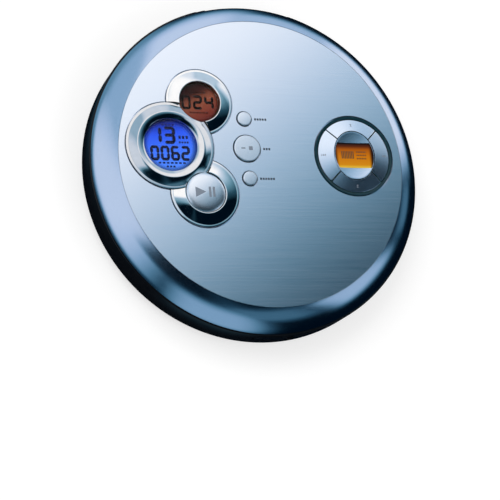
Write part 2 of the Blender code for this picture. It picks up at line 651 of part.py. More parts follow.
def build_case(mats):
    """Lower shell with its hinge knuckle, screw posts, cell bay and side openings."""
    shell = add_object(revolve(case_profile(), CASE_SEGMENTS), "base_shell", mats["band"])
    post_low = FLOOR_BOTTOM + CASE_FLOOR / 2
    fuse(shell, bay_walls(), "bay_walls")
    for name, (x, y) in screw_places().items():
        post = disc(POST_RADIUS, post_low, DECK_BOTTOM - BOSS_LENGTH - CLEARANCE,
                    SMALL_SEGMENTS, (x, y))
        fuse(shell, post, name + "_post")
    for i, place in enumerate(board_post_places()):
        post = disc(BOARD_POST_RADIUS, post_low, MAIN_BOARD_BOTTOM - CLEARANCE,
                    SMALL_SEGMENTS, place)
        fuse(shell, post, f"board_post_{i}")
    cut_case_hinge(shell)
    cut_case_floor(shell)
    cut_case_side(shell)
    return shell


def cut_case_hinge(shell):
    """Notch the back wall for the lid's knuckles and leave the case's own knuckle in it."""
    top = SEAM_Z + CUT_OVERRUN
    back = CASE_RADIUS + CUT_OVERRUN
    relief = NOTCH_HALF + NOTCH_RELIEF_WIDTH
    front = chord_y(CASE_INNER_RADIUS, relief) - CUT_OVERRUN
    notch_floor = HINGE_Z - KNUCKLE_RADIUS - CLEARANCE
    cut(shell, box(-NOTCH_HALF, NOTCH_HALF, front, back, notch_floor, top), "hinge_notch")
    cut(shell, box(-relief, relief, front, back, SEAM_Z - NOTCH_RELIEF_DEPTH, top), "lid_relief")
    web = box(-CASE_KNUCKLE_HALF, CASE_KNUCKLE_HALF, HINGE_Y - KNUCKLE_ARM,
              CASE_RADIUS - CASE_WALL / 2, HINGE_Z - CASE_KNUCKLE_WEB_DROP, HINGE_Z)
    fuse(shell, web, "knuckle_web")
    knuckle = rod_x(KNUCKLE_RADIUS, -CASE_KNUCKLE_HALF, CASE_KNUCKLE_HALF, HINGE_Y, HINGE_Z)
    fuse(shell, knuckle, "case_knuckle")
    reach = CASE_KNUCKLE_HALF + CUT_OVERRUN
    cut(shell, rod_x(PIN_RADIUS + CLEARANCE, -reach, reach, HINGE_Y, HINGE_Z), "case_pin_bore")


def cut_case_floor(shell):
    """Screw holes, foot pockets and the opening for the cell door."""
    for name, (x, y) in screw_places().items():
        bore = [(0.0, FLOOR_BOTTOM - CUT_OVERRUN),
                (SCREW_HEAD_RADIUS + CLEARANCE, FLOOR_BOTTOM - CUT_OVERRUN),
                (SCREW_HEAD_RADIUS + CLEARANCE, FLOOR_BOTTOM + SCREW_HEAD_RECESS
                 + SCREW_HEAD_HEIGHT + CLEARANCE),
                (SCREW_RADIUS + CLEARANCE, FLOOR_BOTTOM + SCREW_HEAD_RECESS
                 + SCREW_HEAD_HEIGHT + CLEARANCE),
                (SCREW_RADIUS + CLEARANCE, DECK_BOTTOM), (0.0, DECK_BOTTOM)]
        cut(shell, revolve(bore, SMALL_SEGMENTS, (x, y)), name + "_bore")
    for name, place in foot_places().items():
        pocket = disc(FOOT_RADIUS + CLEARANCE, FLOOR_BOTTOM - CUT_OVERRUN,
                      FLOOR_BOTTOM + FOOT_POCKET, SMALL_SEGMENTS, place)
        cut(shell, pocket, name + "_pocket")
    half_x = DOOR_HALF_LENGTH + CLEARANCE
    half_y = DOOR_HALF_DEPTH + CLEARANCE
    opening = box(-half_x, half_x, BAY_Y - half_y, BAY_Y + half_y,
                  FLOOR_BOTTOM - CUT_OVERRUN, FLOOR_TOP + CUT_OVERRUN)
    cut(shell, opening, "door_opening")
    for side in (-1, 1):
        half = TAB_WIDTH / 2 + CLEARANCE
        swing = FLOOR_TOP + CLEARANCE + TAB_THICKNESS + TAB_SWING
        gate = box(side * TAB_X - half, side * TAB_X + half,
                   BAY_Y + BAY_HALF_DEPTH - CLEARANCE,
                   BAY_Y + BAY_HALF_DEPTH + BAY_WALL + CLEARANCE, FLOOR_TOP, swing)
        cut(shell, gate, f"tab_gate_{side}")


def cut_case_side(shell):
    """Openings in the side band for the open slider, the hold switch and the two sockets."""
    outside = CASE_RADIUS + CUT_OVERRUN
    inside = CASE_INNER_RADIUS - CUT_OVERRUN - CUT_OVERRUN
    slot = box(-SLIDER_HALF_WIDTH - CLEARANCE, SLIDER_HALF_WIDTH + SLIDER_TRAVEL + CLEARANCE,
               -outside, -inside, SLIDER_Z - SLIDER_HALF_HEIGHT - CLEARANCE,
               SLIDER_Z + SLIDER_HALF_HEIGHT + CLEARANCE)
    cut(shell, slot, "slider_slot")
    reach = HOLD_KNOB_HALF_WIDTH + HOLD_TRAVEL / 2 + CLEARANCE
    height = HOLD_KNOB_HALF_HEIGHT + CLEARANCE
    cut(shell, box(inside, outside, -reach, reach, HOLD_Z - height, HOLD_Z + height), "hold_slot")
    for side, label in ((1, "phones"), (-1, "supply")):
        hole = rod_x(SOCKET_BARREL_RADIUS + CLEARANCE, chord_y(CASE_INNER_RADIUS, SOCKET_Y)
                     - CUT_OVERRUN, outside, side * SOCKET_Y, SOCKET_Z)
        cut(shell, hole, label + "_hole")


def build_feet(mats):
    for name, place in foot_places().items():
        pad = [(0.0, 0.0), (FOOT_RADIUS - CLEARANCE, 0.0), (FOOT_RADIUS, CLEARANCE),
               (FOOT_RADIUS, FLOOR_BOTTOM + FOOT_POCKET - CLEARANCE),
               (0.0, FLOOR_BOTTOM + FOOT_POCKET - CLEARANCE)]
        add_object(revolve(pad, SMALL_SEGMENTS, place), name, mats["rubber"])


def build_screws(mats):
    head_low = FLOOR_BOTTOM + SCREW_HEAD_RECESS
    head_high = head_low + SCREW_HEAD_HEIGHT
    tip = DECK_BOTTOM - BOSS_LENGTH + SCREW_BOSS_OVERLAP
    for name, place in screw_places().items():
        shape = [(0.0, head_low), (SCREW_HEAD_RADIUS, head_low), (SCREW_HEAD_RADIUS, head_high),
                 (SCREW_RADIUS, head_high), (SCREW_RADIUS, tip), (0.0, tip)]
        add_object(revolve(shape, SMALL_SEGMENTS, place), name, mats["steel"])


def deck_profile():
    """Section of the deck, from the hub hole out over the disc well to the flange."""
    hole = TURNTABLE_RADIUS + HUB_HOLE_MARGIN
    landing = WELL_RADIUS - LANDING_WIDTH
    wall_top = DECK_TOP + WELL_WALL_RISE
    outer_wall = WELL_RADIUS + WELL_WALL
    return [(hole, DECK_BOTTOM), (FLANGE_RADIUS, DECK_BOTTOM), (FLANGE_RADIUS, DECK_TOP),
            (outer_wall, DECK_TOP), (outer_wall, wall_top), (WELL_RADIUS, wall_top),
            (WELL_RADIUS, DECK_TOP + LANDING_RISE), (landing + LANDING_RISE,
            DECK_TOP + LANDING_RISE), (landing, DECK_TOP), (hole, DECK_TOP)]


def build_deck(mats):
    """Disc well with its hub hole, pickup slot, finger notches and screw bosses."""
    deck = add_object(revolve(deck_profile(), CASE_SEGMENTS), "disc_deck", mats["deck"])
    low, high = DECK_BOTTOM - CUT_OVERRUN, DECK_TOP + CUT_OVERRUN
    slot = box(LENS_OUTER_X - OPTIC_HALF_LENGTH - SLED_END_GAP, -HUB_HOLE_MARGIN,
               -SLOT_HALF_WIDTH, SLOT_HALF_WIDTH, low, high)
    cut(deck, slot, "pickup_slot")
    back_half = NOTCH_HALF + NOTCH_RELIEF_WIDTH
    back = WELL_RADIUS + WELL_WALL + CLEARANCE
    cut(deck, box(-back_half, back_half, back, CASE_RADIUS, low, high), "hinge_gap")
    catch_half = CATCH_WIDTH / 2 + CATCH_NOSE + CLEARANCE
    catch = box(CATCH_X - catch_half, CATCH_X + catch_half, -CASE_RADIUS,
                -chord_y(WELL_RADIUS + WELL_WALL + CLEARANCE, CATCH_X), low, high)
    cut(deck, catch, "catch_gap")
    for i, turn in enumerate(FINGER_NOTCH_PLACE_ANGLES):
        place = (WELL_RADIUS * math.cos(turn), WELL_RADIUS * math.sin(turn))
        notch = disc(FINGER_NOTCH_RADIUS, DECK_TOP + LANDING_RISE,
                     high + WELL_WALL_RISE, SMALL_SEGMENTS, place)
        cut(deck, notch, f"finger_notch_{i}")
    for name, place in screw_places().items():
        boss = disc(BOSS_RADIUS, DECK_BOTTOM - BOSS_LENGTH, DECK_TOP - DECK_THICKNESS / 2,
                    SMALL_SEGMENTS, place)
        fuse(deck, boss, name + "_boss")
        bore = disc(SCREW_RADIUS + CLEARANCE, DECK_BOTTOM - BOSS_LENGTH - CUT_OVERRUN,
                    DECK_BOTTOM - BOSS_LENGTH + SCREW_BOSS_OVERLAP + CLEARANCE,
                    SMALL_SEGMENTS, place)
        cut(deck, bore, name + "_pilot")
    return deck


def lid_profile():
    """Section of the lid shell, with the pocket for the face and the curved bezel."""
    top = (POCKET_RADIUS, FACE_Z)
    edge = (LID_EDGE_RADIUS, LID_EDGE_Z)
    rise = FACE_Z - LID_EDGE_Z
    wide, drop = BEZEL_SHOULDER_SHARES
    shoulder = (POCKET_RADIUS + BEZEL_WIDTH * wide, FACE_Z - rise * drop)
    outside = bend(top, shoulder, edge)
    inner_edge = (LID_INNER_RADIUS, LID_EDGE_Z)
    inner_top = (POCKET_RADIUS + LID_WALL / 2, WEB_BOTTOM)
    inner_shoulder = (LID_INNER_RADIUS - LID_WALL / 2, LID_EDGE_Z + (WEB_BOTTOM - LID_EDGE_Z) * wide)
    inside = bend(inner_edge, inner_shoulder, inner_top, 3)
    return [(0.0, WEB_TOP), (POCKET_RADIUS, WEB_TOP)] + outside + inside + [(0.0, WEB_BOTTOM)]


def cut_through_web(piece, radius, centre, label, segments=BUTTON_SEGMENTS):
    hole = disc(radius, WEB_BOTTOM - CUT_OVERRUN, FACE_Z + CUT_OVERRUN, segments, centre)
    cut(piece, hole, label)


def build_lid_shell(mats):
    """Bezel ring and web of the lid, with the hinge knuckles and the catch."""
    shell = add_object(revolve(lid_profile(), CASE_SEGMENTS), "lid_shell", mats["bezel"], LID_AXIS)
    pods = ((MAIN_POD_RADIUS, MAIN_POD_X, MAIN_POD_Y, "main_seat"),
            (SMALL_POD_RADIUS, SMALL_POD_X, SMALL_POD_Y, "small_seat"),
            (PLAY_POD_RADIUS, PLAY_POD_X, PLAY_POD_Y, "play_seat"))
    for radius, x, y, label in pods:
        cut_through_web(shell, radius - POD_SUPPORT, (x, y), label)
    for radius, x, y, label in small_keys():
        cut_through_web(shell, radius + CLEARANCE, (x, y), label + "_guide")
    cut_through_web(shell, PAD_RADIUS - PAD_SURROUND + CLEARANCE, (PAD_X, PAD_Y), "pad_seat")
    for side in (-1, 1):
        ends = sorted((side * LID_KNUCKLE_START, side * LID_KNUCKLE_END))
        arm = rim_block(*ends, HINGE_Y - KNUCKLE_ARM, CASE_INNER_RADIUS - CLEARANCE,
                        HINGE_Z, LID_EDGE_Z + ARM_RISE)
        fuse(shell, arm, f"hinge_arm_{side}")
        fuse(shell, rod_x(KNUCKLE_RADIUS, *ends, HINGE_Y, HINGE_Z), f"lid_knuckle_{side}")
    reach = LID_KNUCKLE_END + CUT_OVERRUN
    cut(shell, rod_x(PIN_RADIUS + CLEARANCE, -reach, reach, HINGE_Y, HINGE_Z), "lid_pin_bore")
    add_catch(shell)
    return shell


def add_catch(shell):
    """Hooked tongue that hangs from the lid's front wall beside the slider's pawl."""
    radius = CASE_INNER_RADIUS - CATCH_WALL_GAP
    inner_y = chord_y(radius, CATCH_X) - CATCH_DEPTH / 2
    low = LID_EDGE_Z - CATCH_REACH
    x0, x1 = CATCH_X - CATCH_WIDTH / 2, CATCH_X + CATCH_WIDTH / 2
    fuse(shell, rim_block(x0, x1, inner_y, radius, low, LID_EDGE_Z + ARM_RISE, side=-1.0),
         "catch_tongue")
    nose = box(x1 - CATCH_NOSE, x1 + CATCH_NOSE, -inner_y - CATCH_DEPTH / 4,
               -inner_y, low, low + CATCH_NOSE_HEIGHT)
    fuse(shell, nose, "catch_nose")


def build_liner(mats):
    """Shallow dish that closes the underside of the lid, with a ring round the drive's hub."""
    outer = POCKET_RADIUS + LID_WALL / 2 - LINER_MARGIN
    bottom_edge = outer - LINER_RIM
    bead_in, bead_out = LINER_BEAD_RADIUS - LINER_BEAD_WIDTH, LINER_BEAD_RADIUS
    bead_low = LINER_BOTTOM - LINER_BEAD_DROP
    shape = [(0.0, LINER_BOTTOM), (bead_in - LINER_BEAD_DROP, LINER_BOTTOM), (bead_in, bead_low),
             (bead_out, bead_low), (bead_out + LINER_BEAD_DROP, LINER_BOTTOM),
             (bottom_edge, LINER_BOTTOM), (outer, LINER_BOTTOM + LINER_RIM),
             (outer, WEB_BOTTOM - CLEARANCE), (bottom_edge, WEB_BOTTOM - CLEARANCE),
             (bottom_edge, LINER_TOP), (0.0, LINER_TOP)]
    return add_object(revolve(shape, POD_SEGMENTS), "lid_liner", mats["deck"], LID_AXIS)


def small_keys():
    """The three round keys in the middle of the face: radius, x, y and name."""
    return ((STOP_KEY_RADIUS, KEY_COLUMN_X, STOP_KEY_Y, "stop_button"),
            (SMALL_KEY_RADIUS, KEY_COLUMN_X, BASS_KEY_Y, "bass_button"),
            (SMALL_KEY_RADIUS, KEY_COLUMN_X, SKIP_KEY_Y, "skip_guard_button"))


def build_face(mats):
    """Flat face plate with holes for the pods, the keys and the pad."""
    shape = [(0.0, PLATE_BOTTOM), (FACE_RADIUS, PLATE_BOTTOM), (FACE_RADIUS, FACE_Z), (0.0, FACE_Z)]
    face = add_object(revolve(shape, CASE_SEGMENTS), "face_plate", mats["face"], LID_AXIS)
    low, high = PLATE_BOTTOM - CUT_OVERRUN, FACE_Z + CUT_OVERRUN
    holes = [(MAIN_POD_RADIUS, MAIN_POD_X, MAIN_POD_Y, "main_pod"),
             (SMALL_POD_RADIUS, SMALL_POD_X, SMALL_POD_Y, "small_pod"),
             (PLAY_POD_RADIUS, PLAY_POD_X, PLAY_POD_Y, "play_pod"),
             (PAD_RADIUS, PAD_X, PAD_Y, "pad")] + list(small_keys())
    for radius, x, y, label in holes:
        segments = POD_SEGMENTS if radius > MAIN_LENS_RADIUS else BUTTON_SEGMENTS
        cut(face, disc(radius + CLEARANCE, low, high, segments, (x, y)), label + "_hole")
    return face


def main_ring_profile():
    """Flat lip, round outer slope, and an inner rim that falls from the crest to the window."""
    bore = MAIN_LENS_RADIUS + CLEARANCE
    rim = bore + (MAIN_POD_RADIUS - bore) * MAIN_RIM_SHARE
    step = MAIN_POD_RADIUS - POD_SUPPORT / 2
    outer = [(MAIN_POD_RADIUS, PLATE_BOTTOM), (MAIN_POD_RADIUS, FACE_Z + POD_LIP_RISE)]
    shoulder = (rim + (step - rim) * MAIN_SHOULDER_SHARE, FACE_Z + MAIN_POD_CREST)
    slope = bend((step, FACE_Z + MAIN_POD_STEP / 2), shoulder, (rim, FACE_Z + MAIN_POD_CREST), 5)
    return outer + slope + [(bore, FACE_Z + MAIN_LENS_RISE + CLEARANCE / 2), (bore, PLATE_BOTTOM)]


def sloped_ring_profile(bore, radius, crest):
    """Flat lip round a slope that climbs to its crest beside the bore."""
    lip = radius - POD_LIP_WIDTH
    start = (lip, FACE_Z + POD_LIP_RISE + POD_LIP_STEP)
    shoulder = ((lip + bore) / 2, FACE_Z + crest * POD_SHOULDER_SHARE)
    slope = bend(start, shoulder, (bore + CLEARANCE, FACE_Z + crest), 4)
    outer = [(radius, PLATE_BOTTOM), (radius, FACE_Z + POD_LIP_RISE)]
    return outer + slope + [(bore, FACE_Z + crest - CLEARANCE), (bore, PLATE_BOTTOM)]


def build_pods(mats):
    """Chrome rings of the two displays and the play key."""
    main = add_object(revolve(main_ring_profile(), POD_SEGMENTS, (MAIN_POD_X, MAIN_POD_Y)),
                      "main_display_ring", mats["chrome"], LID_AXIS)
    low = PLATE_BOTTOM - CUT_OVERRUN
    high = FACE_Z + PLAY_KEY_RISE + CUT_OVERRUN
    pods = (("small_display_ring", SMALL_LENS_RADIUS, SMALL_POD_RADIUS, SMALL_POD_X, SMALL_POD_Y,
             SMALL_POD_CREST),
            ("play_key_ring", PLAY_KEY_RADIUS, PLAY_POD_RADIUS, PLAY_POD_X, PLAY_POD_Y,
             PLAY_POD_CREST))
    rings = [main]
    for name, inside, radius, x, y, crest in pods:
        bore = inside + CLEARANCE
        ring = add_object(revolve(sloped_ring_profile(bore, radius, crest), POD_SEGMENTS, (x, y)),
                          name, mats["chrome"], LID_AXIS)
        bite = disc(MAIN_POD_RADIUS + CLEARANCE, low, high, POD_SEGMENTS, (MAIN_POD_X, MAIN_POD_Y))
        cut(ring, bite, name + "_bite")
        cut(main, disc(bore, low, high, POD_SEGMENTS, (x, y)), name + "_main_bite")
        rings.append(ring)
    return rings


def build_display(mats, name, radius, centre, lens_top, cell_material, window_material):
    """Clear window and the glass cell under it, both standing in the bore of a pod ring."""
    lens_bottom = lens_top - LENS_THICKNESS
    rounded = lens_top - CLEARANCE / 2
    window = [(0.0, lens_bottom), (radius, lens_bottom), (radius, rounded),
              (radius - CLEARANCE, lens_top), (0.0, lens_top)]
    cell_low = BOARD_TOP + CLEARANCE
    cell_high = lens_bottom - CLEARANCE
    return [add_object(revolve(window, BUTTON_SEGMENTS, centre), name + "_window",
                       mats[window_material], LID_AXIS),
            add_object(disc(radius, cell_low, cell_high, BUTTON_SEGMENTS, centre),
                       name + "_cell", mats[cell_material], LID_AXIS)]


def dome_profile(radius, low, edge, crown, steps=CURVE_STEPS):
    """Key with straight sides and a shallow domed top."""
    across, up = DOME_SHOULDER_SHARES
    shoulder = (radius * across, edge + (crown - edge) * up)
    dome = bend((radius, edge), shoulder, (0.0, crown), steps)
    return [(0.0, low), (radius, low)] + dome


def build_key(mats, name, radius, centre, edge, crown, segments, steps):
    origin = Vector((centre[0], centre[1], KEY_BOTTOM))
    shape = dome_profile(radius, KEY_BOTTOM, edge, crown, steps)
    return add_object(revolve(shape, segments, centre), name, mats["key"], origin)


def build_keys(mats):
    keys = [build_key(mats, "play_button", PLAY_KEY_RADIUS, (PLAY_POD_X, PLAY_POD_Y),
                      FACE_Z + PLAY_KEY_EDGE_RISE, FACE_Z + PLAY_KEY_RISE, BUTTON_SEGMENTS, 5)]
    for radius, x, y, name in small_keys():
        edge = FACE_Z + SMALL_KEY_RISE
        keys.append(build_key(mats, name, radius, (x, y), edge, edge + KEY_DOME,
                              BUTTON_SEGMENTS, 2))
    return keys


def oval_reach(half_width, half_height, turn):
    """How far an oval reaches from its centre in the direction turn."""
    return 1 / math.hypot(math.cos(turn) / half_width, math.sin(turn) / half_height)


def oval(profile, half_width, segments, centre):
    """Turn a profile, then squeeze it along X until its widest ring is half_width out."""
    bm = revolve(profile, segments)
    widest = max(radius for radius, height in profile)
    bmesh.ops.scale(bm, verts=bm.verts, vec=(half_width / widest, 1.0, 1.0))
    bmesh.ops.translate(bm, verts=bm.verts, vec=(centre[0], centre[1], 0.0))
    return bm


def key_quarter(turn):
    """Outline of one quarter of the pad's ring, centred on the direction turn."""
    outer = PAD_RADIUS - PAD_SURROUND - CLEARANCE
    half_width, half_height = PAD_HUB_HALF_WIDTH + CLEARANCE, PAD_HUB_RADIUS + CLEARANCE
    half = math.pi / 4
    inner = oval_reach(half_width, half_height, turn + half)
    outer_half = half - math.asin(PAD_KEY_GAP / 2 / outer)
    inner_half = half - math.asin(PAD_KEY_GAP / 2 / inner)
    points = arc_points(outer, turn - outer_half, turn + outer_half, 8, (PAD_X, PAD_Y))
    for i in range(7):
        angle = turn + inner_half - 2 * inner_half * i / 6
        reach = oval_reach(half_width, half_height, angle)
        points.append((PAD_X + reach * math.cos(angle), PAD_Y + reach * math.sin(angle)))
    return points


def pad_slope():
    """Low cone about the pad's middle that gives its keys their outward slope."""
    inner = PAD_HUB_HALF_WIDTH + CLEARANCE
    outer = PAD_RADIUS - PAD_SURROUND
    low, top = KEY_BOTTOM - CUT_OVERRUN, FACE_Z + PAD_KEY_RISE
    shape = [(0.0, low), (outer, low), (outer, top - PAD_KEY_FALL), (inner, top), (0.0, top)]
    return revolve(shape, POD_SEGMENTS, (PAD_X, PAD_Y))


def build_pad(mats):
    """Four-way pad: surround, four keys, hub trim and lit window."""
    centre = (PAD_X, PAD_Y)
    inner = PAD_RADIUS - PAD_SURROUND
    ring = [(inner, PLATE_BOTTOM), (PAD_RADIUS, PLATE_BOTTOM),
            (PAD_RADIUS, FACE_Z + PAD_SURROUND_RISE), (inner, FACE_Z)]
    fixed = [add_object(revolve(ring, POD_SEGMENTS, centre), "pad_surround", mats["teal"], LID_AXIS)]
    turns = {"right": 0.0, "up": math.pi / 2, "left": math.pi, "down": -math.pi / 2}
    for side, turn in turns.items():
        middle = (PAD_RADIUS + PAD_HUB_RADIUS) / 2
        origin = Vector((PAD_X + middle * math.cos(turn), PAD_Y + middle * math.sin(turn),
                         KEY_BOTTOM))
        key = add_object(prism(key_quarter(turn), KEY_BOTTOM, FACE_Z + PAD_KEY_RISE + CUT_OVERRUN),
                         "pad_key_" + side, mats["key"], origin)
        shape_with(key, pad_slope(), f"pad_slope_{side}", "INTERSECT")
    fixed += build_pad_hub(mats, centre)
    return fixed


def window_outline(half_width, full_height, half_height):
    """Outline of an oval with its top and bottom cut off flat."""
    turn = math.asin(half_height / full_height)
    turns = [-turn + 2 * turn * i / 6 for i in range(7)]
    return [(PAD_X + side * half_width * math.cos(a), PAD_Y + side * full_height * math.sin(a))
            for side in (1, -1) for a in turns]


def build_pad_hub(mats, centre):
    """Dished oval trim with the lit window in it, over its own glass cell."""
    top = FACE_Z + PAD_TRIM_RISE
    dish = [(0.0, FACE_Z - CLEARANCE), (PAD_HUB_RADIUS, FACE_Z - CLEARANCE), (PAD_HUB_RADIUS, top)]
    dish += [(PAD_HUB_RADIUS * out, top - PAD_DISH * down) for out, down in PAD_DISH_SHARES]
    trim = add_object(oval(dish, PAD_HUB_HALF_WIDTH, POD_SEGMENTS, centre), "pad_trim",
                      mats["bezel"], LID_AXIS)
    half_width = PAD_HUB_HALF_WIDTH - PAD_WINDOW_MARGIN
    full_height = PAD_HUB_RADIUS - PAD_WINDOW_MARGIN
    opening = prism(window_outline(half_width, full_height, PAD_WINDOW_HALF_HEIGHT),
                    FACE_Z - CUT_OVERRUN, top + CUT_OVERRUN)
    cut(trim, opening, "pad_window_hole")
    glass = prism(window_outline(half_width - CLEARANCE, full_height - CLEARANCE,
                                 PAD_WINDOW_HALF_HEIGHT - CLEARANCE),
                  FACE_Z - CLEARANCE, FACE_Z + PAD_SURROUND_RISE)
    window = add_object(glass, "pad_window", mats["amber"], LID_AXIS)
    slab = [(0.0, BOARD_TOP + CLEARANCE), (PAD_HUB_RADIUS - CLEARANCE, BOARD_TOP + CLEARANCE),
            (PAD_HUB_RADIUS - CLEARANCE, FACE_Z - CLEARANCE - CLEARANCE),
            (0.0, FACE_Z - CLEARANCE - CLEARANCE)]
    cell = add_object(oval(slab, PAD_HUB_HALF_WIDTH - CLEARANCE, BUTTON_SEGMENTS, centre),
                      "pad_display_cell", mats["black"], LID_AXIS)
    return [trim, window, cell]


def build_key_board(mats):
    """Flexible board under the web that carries the displays and the key contacts."""
    radius = POCKET_RADIUS + LID_WALL / 2 - LINER_MARGIN - LINER_RIM - CLEARANCE
    board = disc(radius, BOARD_BOTTOM, BOARD_TOP, POD_SEGMENTS)
    return add_object(board, "key_board", mats["board"], LID_AXIS)


def build_hinge_pin(mats):
    pin = rod_x(PIN_RADIUS, -LID_KNUCKLE_END, LID_KNUCKLE_END, HINGE_Y, HINGE_Z)
    return add_object(pin, "hinge_pin", mats["steel"], LID_AXIS)


def build_slider(mats):
    """Open slider: a pad in the side band on a carrier with a pawl behind the wall."""
    front = -(CASE_RADIUS - SLIDER_RECESS)
    back = -(CASE_RADIUS - CARRIER_INSET)
    pad = box(-SLIDER_HALF_WIDTH, SLIDER_HALF_WIDTH, front, back + CARRIER_THICKNESS / 2,
              SLIDER_Z - SLIDER_HALF_HEIGHT, SLIDER_Z + SLIDER_HALF_HEIGHT)
    slider = add_object(pad, "open_slider", mats["black"], Vector((0.0, front, SLIDER_Z)))
    top = SLIDER_Z + SLIDER_HALF_HEIGHT + CARRIER_MARGIN
    carrier = box(-CARRIER_HALF_WIDTH, CARRIER_HALF_WIDTH, back, back + CARRIER_THICKNESS,
                  SLIDER_Z - SLIDER_HALF_HEIGHT - CARRIER_MARGIN, top)
    fuse(slider, carrier, "slider_carrier")
    pawl = box(-CARRIER_HALF_WIDTH - PAWL_LENGTH, -CARRIER_HALF_WIDTH + PAWL_LENGTH,
               back + CARRIER_THICKNESS / 2, back + CARRIER_THICKNESS + PAWL_DEPTH,
               top - PAWL_HEIGHT, top)
    fuse(slider, pawl, "slider_pawl")
    return slider


def build_hold_switch(mats):
    """Hold switch: a small knob in the side band on a plate that covers its slot."""
    start = -HOLD_TRAVEL / 2
    outer = CASE_RADIUS - HOLD_RECESS
    inner = CASE_RADIUS - HOLD_INSET
    knob = box(inner - HOLD_BACK_THICKNESS / 2, outer, start - HOLD_KNOB_HALF_WIDTH,
               start + HOLD_KNOB_HALF_WIDTH, HOLD_Z - HOLD_KNOB_HALF_HEIGHT,
               HOLD_Z + HOLD_KNOB_HALF_HEIGHT)
    switch = add_object(knob, "hold_switch", mats["black"], Vector((outer, start, HOLD_Z)))
    plate = box(inner - HOLD_BACK_THICKNESS, inner, start - HOLD_BACK_HALF_WIDTH,
                start + HOLD_BACK_HALF_WIDTH, HOLD_Z - HOLD_BACK_HALF_HEIGHT,
                HOLD_Z + HOLD_BACK_HALF_HEIGHT)
    fuse(switch, plate, "hold_plate")
    return switch


def build_socket(mats, name, side, bore_radius, bore_depth):
    """Right-angle socket on the board, with its barrel in the wall."""
    y = side * SOCKET_Y
    body_end = chord_y(CASE_RADIUS - SOCKET_EDGE_INSET, SOCKET_Y + SOCKET_BODY_HALF)
    barrel_end = body_end + SOCKET_BARREL_LENGTH
    body = box(body_end - SOCKET_LENGTH, body_end, y - SOCKET_BODY_HALF, y + SOCKET_BODY_HALF,
               SOCKET_Z - SOCKET_BODY_HALF, SOCKET_Z + SOCKET_BODY_HALF)
    socket = add_object(body, name, mats["black"])
    barrel = rod_x(SOCKET_BARREL_RADIUS, body_end - SOCKET_BARREL_LENGTH, barrel_end, y, SOCKET_Z)
    fuse(socket, barrel, name + "_barrel")
    cut(socket, rod_x(bore_radius, barrel_end - bore_depth, barrel_end + CUT_OVERRUN, y, SOCKET_Z),
        name + "_bore")
    return socket, barrel_end


def build_sockets(mats):
    build_socket(mats, "phones_socket", 1, PHONES_BORE_RADIUS, PHONES_BORE_DEPTH)
    supply, end = build_socket(mats, "supply_socket", -1, SUPPLY_BORE_RADIUS, SUPPLY_BORE_DEPTH)
    pin = rod_x(SUPPLY_PIN_RADIUS, end - SUPPLY_BORE_DEPTH - SUPPLY_PIN_RECESS,
                end - SUPPLY_PIN_RECESS, -SOCKET_Y, SOCKET_Z, 8)
    fuse(supply, pin, "supply_pin")


def board_outline():
    """L-shaped outline of the main board, with a round edge that follows the case."""
    start = math.asin(BOARD_FRONT_Y / BOARD_RADIUS)
    end = math.acos(BOARD_REAR_LEFT_X / BOARD_RADIUS)
    corner = [(BOARD_REAR_LEFT_X, BOARD_REAR_Y), (BOARD_LEFT_X, BOARD_REAR_Y),
              (BOARD_LEFT_X, BOARD_FRONT_Y)]
    return arc_points(BOARD_RADIUS, start, end, BOARD_ARC_STEPS) + corner


def build_main_board(mats):
    """Main board with its chips and a capacitor, cleared round the rear screw post."""
    board = add_object(prism(board_outline(), MAIN_BOARD_BOTTOM, MAIN_BOARD_TOP),
                       "main_board", mats["board"])
    root = MAIN_BOARD_TOP - MAIN_BOARD_THICKNESS / 2
    for i, (x, y, half) in enumerate(CHIP_PLACES):
        chip = box(x - half, x + half, y - half, y + half, root, MAIN_BOARD_TOP + CHIP_HEIGHT)
        fuse(board, chip, f"chip_{i}")
    can = disc(CAPACITOR_RADIUS, root, MAIN_BOARD_TOP + CAPACITOR_HEIGHT, SMALL_SEGMENTS,
               (CAPACITOR_X, CAPACITOR_Y))
    fuse(board, can, "capacitor")
    for name, place in screw_places().items():
        post = disc(POST_RADIUS + CLEARANCE, MAIN_BOARD_BOTTOM - CUT_OVERRUN,
                    MAIN_BOARD_TOP + CUT_OVERRUN, SMALL_SEGMENTS, place)
        if place[0] > BOARD_LEFT_X and place[1] > BOARD_FRONT_Y:
            cut(board, post, name + "_clearance")
        else:
            post.free()
    return board


